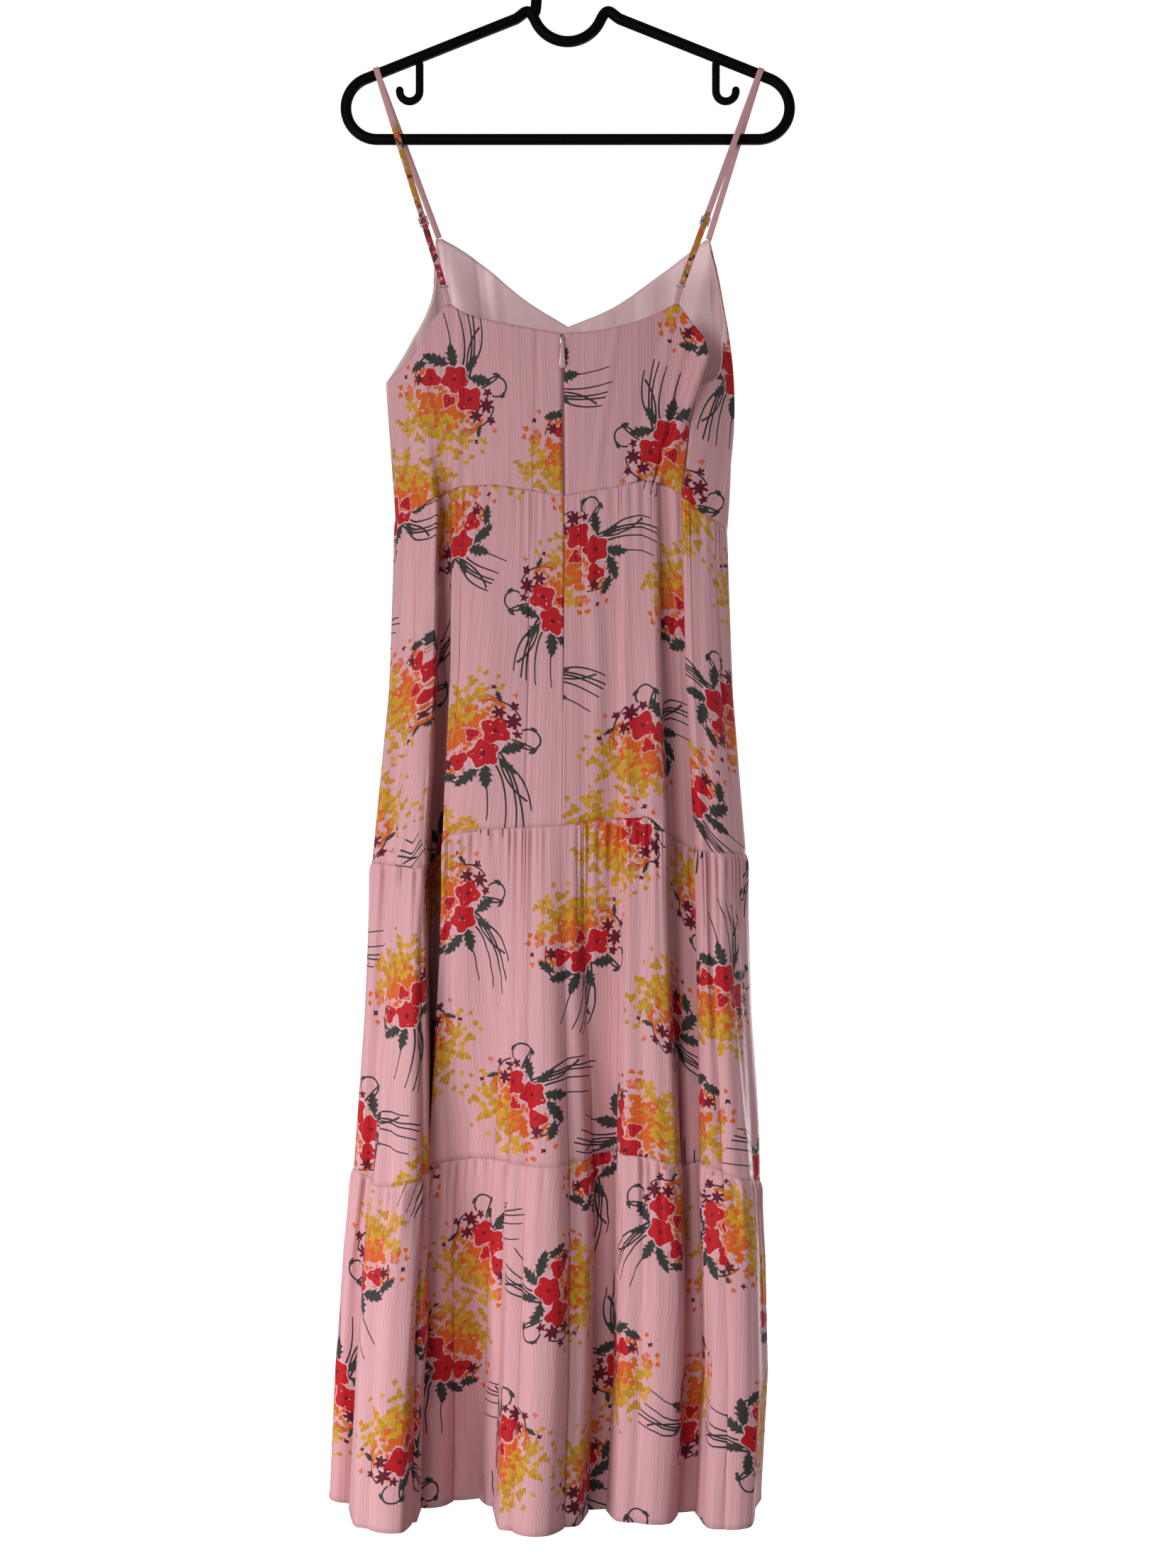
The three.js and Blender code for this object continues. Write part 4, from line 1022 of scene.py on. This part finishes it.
def even_path(path, step):
    """The same path with its points a fixed step apart, closer at both tips."""
    whole = run_lengths(path)[-1]
    tips = np.array([0.05, 0.2, 0.5, 1.0, 1.6, 2.4])
    stops = np.linspace(0, 1, int(whole / step)) * whole
    return at_lengths(path, np.unique(np.concatenate([stops, tips, whole - tips])))


black = grained(
    "black hanger plastic", (0.0012, 0.0013, 0.0012), (0.0030, 0.0032, 0.0030), 700.0,
    detail=3.0, spread=0.15, rough=0.5, bump=(0.15, 0.0001), Specular_IOR_Level=0.05,
)
DIP_ANGLE = np.degrees(np.arcsin(DIP_HALF_WIDTH / DIP_RADIUS))
DIP_CENTRE_Z = DIP_BOTTOM_Z + DIP_RADIUS
DIP_END_Z = DIP_CENTRE_Z - DIP_RADIUS * np.cos(np.radians(DIP_ANGLE))
right_half = np.concatenate([
    arc(0, DIP_CENTRE_Z, DIP_RADIUS, -90, -90 + DIP_ANGLE, 12)[:-1],
    bezier([(30, DIP_END_Z), (37.5, -78.3), (40.7, shoulder_z(40.7)), (50, shoulder_z(50))], 16)[:-1],
    arc(LOOP_X, LOOP_Z, LOOP_RADIUS, 90 - SHOULDER_DEGREES, -90, 40),
])
left_half = right_half[::-1] * np.array([-1, 1])
frame_path = np.concatenate([right_half, left_half[:-1]])
hanger_bar("hanger_bar", "hanger_frame", frame_path, HANGER_BAR, 24, True)

hook_path = np.concatenate([
    bezier([HOOK_FOOT, (-HOOK_X, HOOK_FOOT[1] + 6), (-HOOK_X, HOOK_BEND_Z)], 16),
    arc(0, HANGER_BAR - HOOK_X, HOOK_X, 180, -25, 60),
])
hook_path = even_path(hook_path, 2.0)
hook_radii = rounded_ends(hook_path, HANGER_BAR)
hanger_bar("hanger_hook_bar", "hanger_hook", hook_path, hook_radii, 24, False)

for side, side_name in ((-1, "left"), (1, "right")):
    notch_path = np.concatenate([
        [(NOTCH_X, -131.5)],
        arc(NOTCH_X + NOTCH_RADIUS, -160, NOTCH_RADIUS, 180, 360, 24),
        [(NOTCH_X + 2 * NOTCH_RADIUS, -155.5)],
    ])
    notch_path = even_path(notch_path * np.array([side, 1]), 1.5)
    node = f"hanger_notch_{side_name}"
    hanger_bar(f"{node}_bar", node, notch_path, rounded_ends(notch_path, NOTCH_BAR), 16, False)


# Straps, sliders, rings and tabs
# Each strap is one narrow tube of the printed chiffon, from the front point over the hanger and
# down to a metal ring, through it and back up to a metal slider; a short tab holds the ring.
STRAP_WIDTH = 5.6
STRAP_THICK = 1.0
RING_Y = -31.0
HALF_GAP = 0.65
FOLD_HALF_GAP = 1.4
TAB_WIDTH = 5.0
RING_RADIUS = 4.0
RING_WIRE = 0.6
# Lengths along a strap, in metres from its front point, where its back strand and slider come.
BACK_STRAND = 0.225
SLIDER_PLACE = 0.314
# Side, bar x, front x and z, ring x and z, neck x.
STRAPS = (
    ("left", -175.5, -120.4, -290.4, -112.5, -347.3, -107.6),
    ("right", 177.0, 131.2, -291.9, 103.5, -346.9, 98.9),
)


def strap_print(material_name, upper, lower):
    """Printed strip for a strap: its front length is plain, and the cut of the print leaves
    patches of one pair of colours above the slider and of another pair below it."""
    material, tree, shader = node_material(material_name)
    uv = cloth_uv(tree)
    along = split(uv)[1]
    blot = split(noise_2d(uv, 130.0, 2.0).outputs["Color"])
    colour = paint(tuple(0.9 * part for part in PINK), PINK, blot[2])
    for pair, start, end in ((upper, BACK_STRAND, SLIDER_PLACE), (lower, SLIDER_PLACE, 1.0)):
        if pair:
            inside = along.ramp(start, start + 0.006) * along.ramp(end, end - 0.004)
            colour = paint(colour, pair[0], inside * blot[0].ramp(0.40, 0.44))
            colour = paint(colour, pair[1], inside * blot[1].ramp(0.52, 0.56))
            colour = paint(colour, STEM_GREY, inside * blot[2].ramp(0.62, 0.66))
    fill(shader, {"Base Color": colour, "Roughness": 0.6, "Sheen Weight": 0.15})
    return material


def half_turn(centre, way, radius, count=16):
    """Half circle in the plane of Y and the given way, from the far side round to the near."""
    angle = np.linspace(0, np.pi, count)[:, None]
    return centre + way * radius * np.sin(angle) + np.array([0, 1, 0]) * radius * np.cos(angle)


def ribbon(node, path, width_way, width, material):
    """Flat tube with rounded edges: a flattened ring of points carried along the path. It stands
    for a strap's or a tab's node."""
    path = even_path(np.array(path), 1.2)
    face = unit(np.cross(np.gradient(path, axis=0), width_way))
    angle = np.linspace(0, 2 * np.pi, 16, endpoint=False)
    wide = signed_power(np.cos(angle), 0.5) * width / 2
    deep = signed_power(np.sin(angle), 0.8) * STRAP_THICK / 2
    points = path[:, None] + wide[None, :, None] * width_way + deep[None, :, None] * face[:, None]
    uv = np.stack(np.broadcast_arrays(wide[None, :], run_lengths(path)[:, None]), axis=-1) * 0.001
    name = f"{node}_cloth"
    thing = add_object(name, grid_mesh(name, points * 0.001, uv, loops=True, capped=True), material)
    close_ring(thing)
    stands_for(thing, node)


def rounded_blocks(name, parts, ways, middle):
    """Mesh of small blocks, each a ball's grid pushed out towards a box by a power of 0.3."""
    angles = np.linspace(0, 2 * np.pi, 16, endpoint=False)
    angle, tilt = np.meshgrid(angles, np.linspace(-np.pi / 2, np.pi / 2, 9))
    level = signed_power(np.cos(tilt), 0.3)
    across = level * signed_power(np.cos(angle), 0.3)
    out = level * signed_power(np.sin(angle), 0.3)
    ball = np.stack([across, out, signed_power(np.sin(tilt), 0.3)], axis=-1)
    shape = bmesh.new()
    for x, y, z, half_x, half_y, half_z in parts:
        local = ball * np.array([half_x, half_y, half_z]) + np.array([x, y, z])
        block = grid_mesh(name, (local @ np.array(ways) + middle) * 0.001, loops=True, capped=True)
        shape.from_mesh(block)
        bpy.data.meshes.remove(block)
    bmesh.ops.remove_doubles(shape, verts=shape.verts, dist=1e-7)
    bmesh.ops.recalc_face_normals(shape, faces=shape.faces)
    mesh = bpy.data.meshes.new(name)
    shape.to_mesh(mesh)
    shape.free()
    return mesh


steel = grained(
    "bright steel", (0.50, 0.49, 0.49), (0.70, 0.69, 0.68), 900.0,
    detail=3.0, spread=0.15, rough=(0.16, 0.30), Metallic=1.0,
)
STRAP_PRINTS = {
    "left": strap_print("left strap print", (MUSTARD, ORANGE), (RED, MAROON)),
    "right": strap_print("right strap print", None, (MUSTARD, ORANGE)),
}
for side_name, bar_x, front_x, front_z, ring_x, ring_z, neck_x in STRAPS:
    bar = np.array([bar_x, 0, shoulder_z(bar_x)])
    ring = np.array([ring_x, RING_Y, ring_z])
    up = unit(np.array([bar_x - ring_x, 0, bar[2] - ring_z]))
    width_way = np.array([up[2], 0, -up[0]])
    over_bar = half_turn(bar, up, HANGER_BAR + 0.3 + STRAP_THICK / 2)
    low_bar = over_bar[-1]
    up_strap = unit(low_bar - ring)
    through_ring = half_turn(ring + up * 3.1, -up, FOLD_HALF_GAP)
    slider_mid = ring + (low_bar - ring) * 0.3
    near = np.array([0, HALF_GAP, 0])
    tail = slider_mid - near + up_strap * 7
    front = [front_x, 20.6, front_z]
    strap_path = [front, *over_bar, slider_mid + near, *through_ring, slider_mid - near, tail]
    ribbon(f"strap_{side_name}", strap_path, width_way, STRAP_WIDTH, STRAP_PRINTS[side_name])

    # Tab: up from the neck's corner on the far side, round the ring and down on the near side.
    turn_points = half_turn(ring - up * 2.55, up, FOLD_HALF_GAP)
    neck = np.array([neck_x, -34.3, -364.7])
    back_end, front_end = turn_points[[0, -1]] - up * 2.6
    tab_path = [neck + near, back_end, *turn_points, front_end, neck - near]
    ribbon(f"ring_tab_{side_name}", tab_path, np.array([1, 0, 0]), TAB_WIDTH, STRAP_PRINTS["right"])

    # Ring: a wire's circle carried round a wider one.
    round_wire = np.linspace(0, 2 * np.pi, 16, endpoint=False)
    around, through = np.meshgrid(np.linspace(0, 2 * np.pi, 49), round_wire, indexing="ij")
    reach = RING_RADIUS + RING_WIRE * np.cos(through)
    lift = RING_WIRE * np.sin(through)
    ring_points = np.stack([reach * np.cos(around), reach * np.sin(around), lift], axis=-1)
    ring_mesh = grid_mesh("ring", (ring_points + ring) * 0.001, loops=True)
    wire = add_object(f"strap_ring_{side_name}_wire", ring_mesh, steel)
    close_ring(wire)
    stands_for(wire, f"strap_ring_{side_name}")

    # Slider: two side rails joined by two bars before the strap and one behind it.
    ways = (width_way, np.cross(up_strap, width_way), up_strap)
    rail_x = STRAP_WIDTH / 2 + 0.9
    bar_y = HALF_GAP + STRAP_THICK / 2 + 0.9
    slider_parts = (
        # middle across, out and up, then half sizes
        (-rail_x, 0, 0, 0.6, bar_y + 0.5, 4.0),
        (rail_x, 0, 0, 0.6, bar_y + 0.5, 4.0),
        (0, -bar_y, 3.4, rail_x, 0.6, 0.6),
        (0, -bar_y, -3.4, rail_x, 0.6, 0.6),
        (0, bar_y, 0, rail_x, 0.6, 0.6),
    )
    slider_mesh = rounded_blocks("slider", slider_parts, ways, slider_mid)
    slider = add_object(f"strap_slider_{side_name}_frame", slider_mesh, steel)
    stands_for(slider, f"strap_slider_{side_name}")


# Zip
# A concealed zip: its chain lies behind the centre back seam, so only the seam, the small
# steel slider at its top and the drop-shaped lacquered pull tab show. The tab swings on the
# slider.
ZIP_X = -4.6
zip_paint = grained(
    "lacquered zip", (0.56, 0.28, 0.31), (0.68, 0.38, 0.41), 900.0,
    detail=1.0, spread=0.2, rough=0.35, Coat_Weight=0.4,
)
# Painted shade: the chain's tape is a real part, but its dark maroon brown stands in for the shade in
# the centre back seam's groove.
zip_tape_in_seam_shade = grained(
    "zip tape in seam shade", (0.20, 0.085, 0.09), (0.28, 0.12, 0.13), 1400.0, detail=2.0, spread=0.2, rough=0.8
)


def flat_drop(name, top, length, top_radius, foot_radius, thick, material):
    """Drop-shaped plate: an outline of two half circles joined by straight sides, pulled in at
    its rounded edges by a quarter circle from face to face."""
    angle = np.linspace(0, np.pi, 25)
    crown = np.stack([np.cos(angle), np.sin(angle) - 1], axis=-1) * top_radius
    foot = np.stack([-np.cos(angle), 1 - np.sin(angle)], axis=-1) * foot_radius - [0, length]
    outline = np.concatenate([crown, foot])
    way = unit(outline + np.array([0, length / 2]))
    tilt = np.linspace(-np.pi / 2, np.pi / 2, 9)[:, None]
    flat = outline - way * ((1 - np.cos(tilt)) * thick * 0.45)[..., None]
    x, y, z = np.broadcast_arrays(flat[..., 0], np.sin(tilt) * thick / 2, flat[..., 1])
    points = np.stack([x, y, z], axis=-1) + np.array(top)
    thing = add_object(name, grid_mesh(name, points * 0.001, loops=True, capped=True), material)
    close_ring(thing)
    return thing


zip_slider = flat_drop("zip_slider_shell", (ZIP_X, -45.5, -395.8), 9, 2.3, 1.9, 1.2, steel)
stands_for(zip_slider, "zip_slider")
zip_pull = flat_drop("zip_pull_tab", (ZIP_X, -46.9, -399.8), 25, 1.5, 3.0, 1.0, zip_paint)
stands_for(zip_pull, "zip_pull", body="zip_pull")
# The chain takes the dark tape colour, which is painted shade of the seam's groove.
for face_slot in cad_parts["zip_chain"].material_slots:
    face_slot.material = zip_tape_in_seam_shade
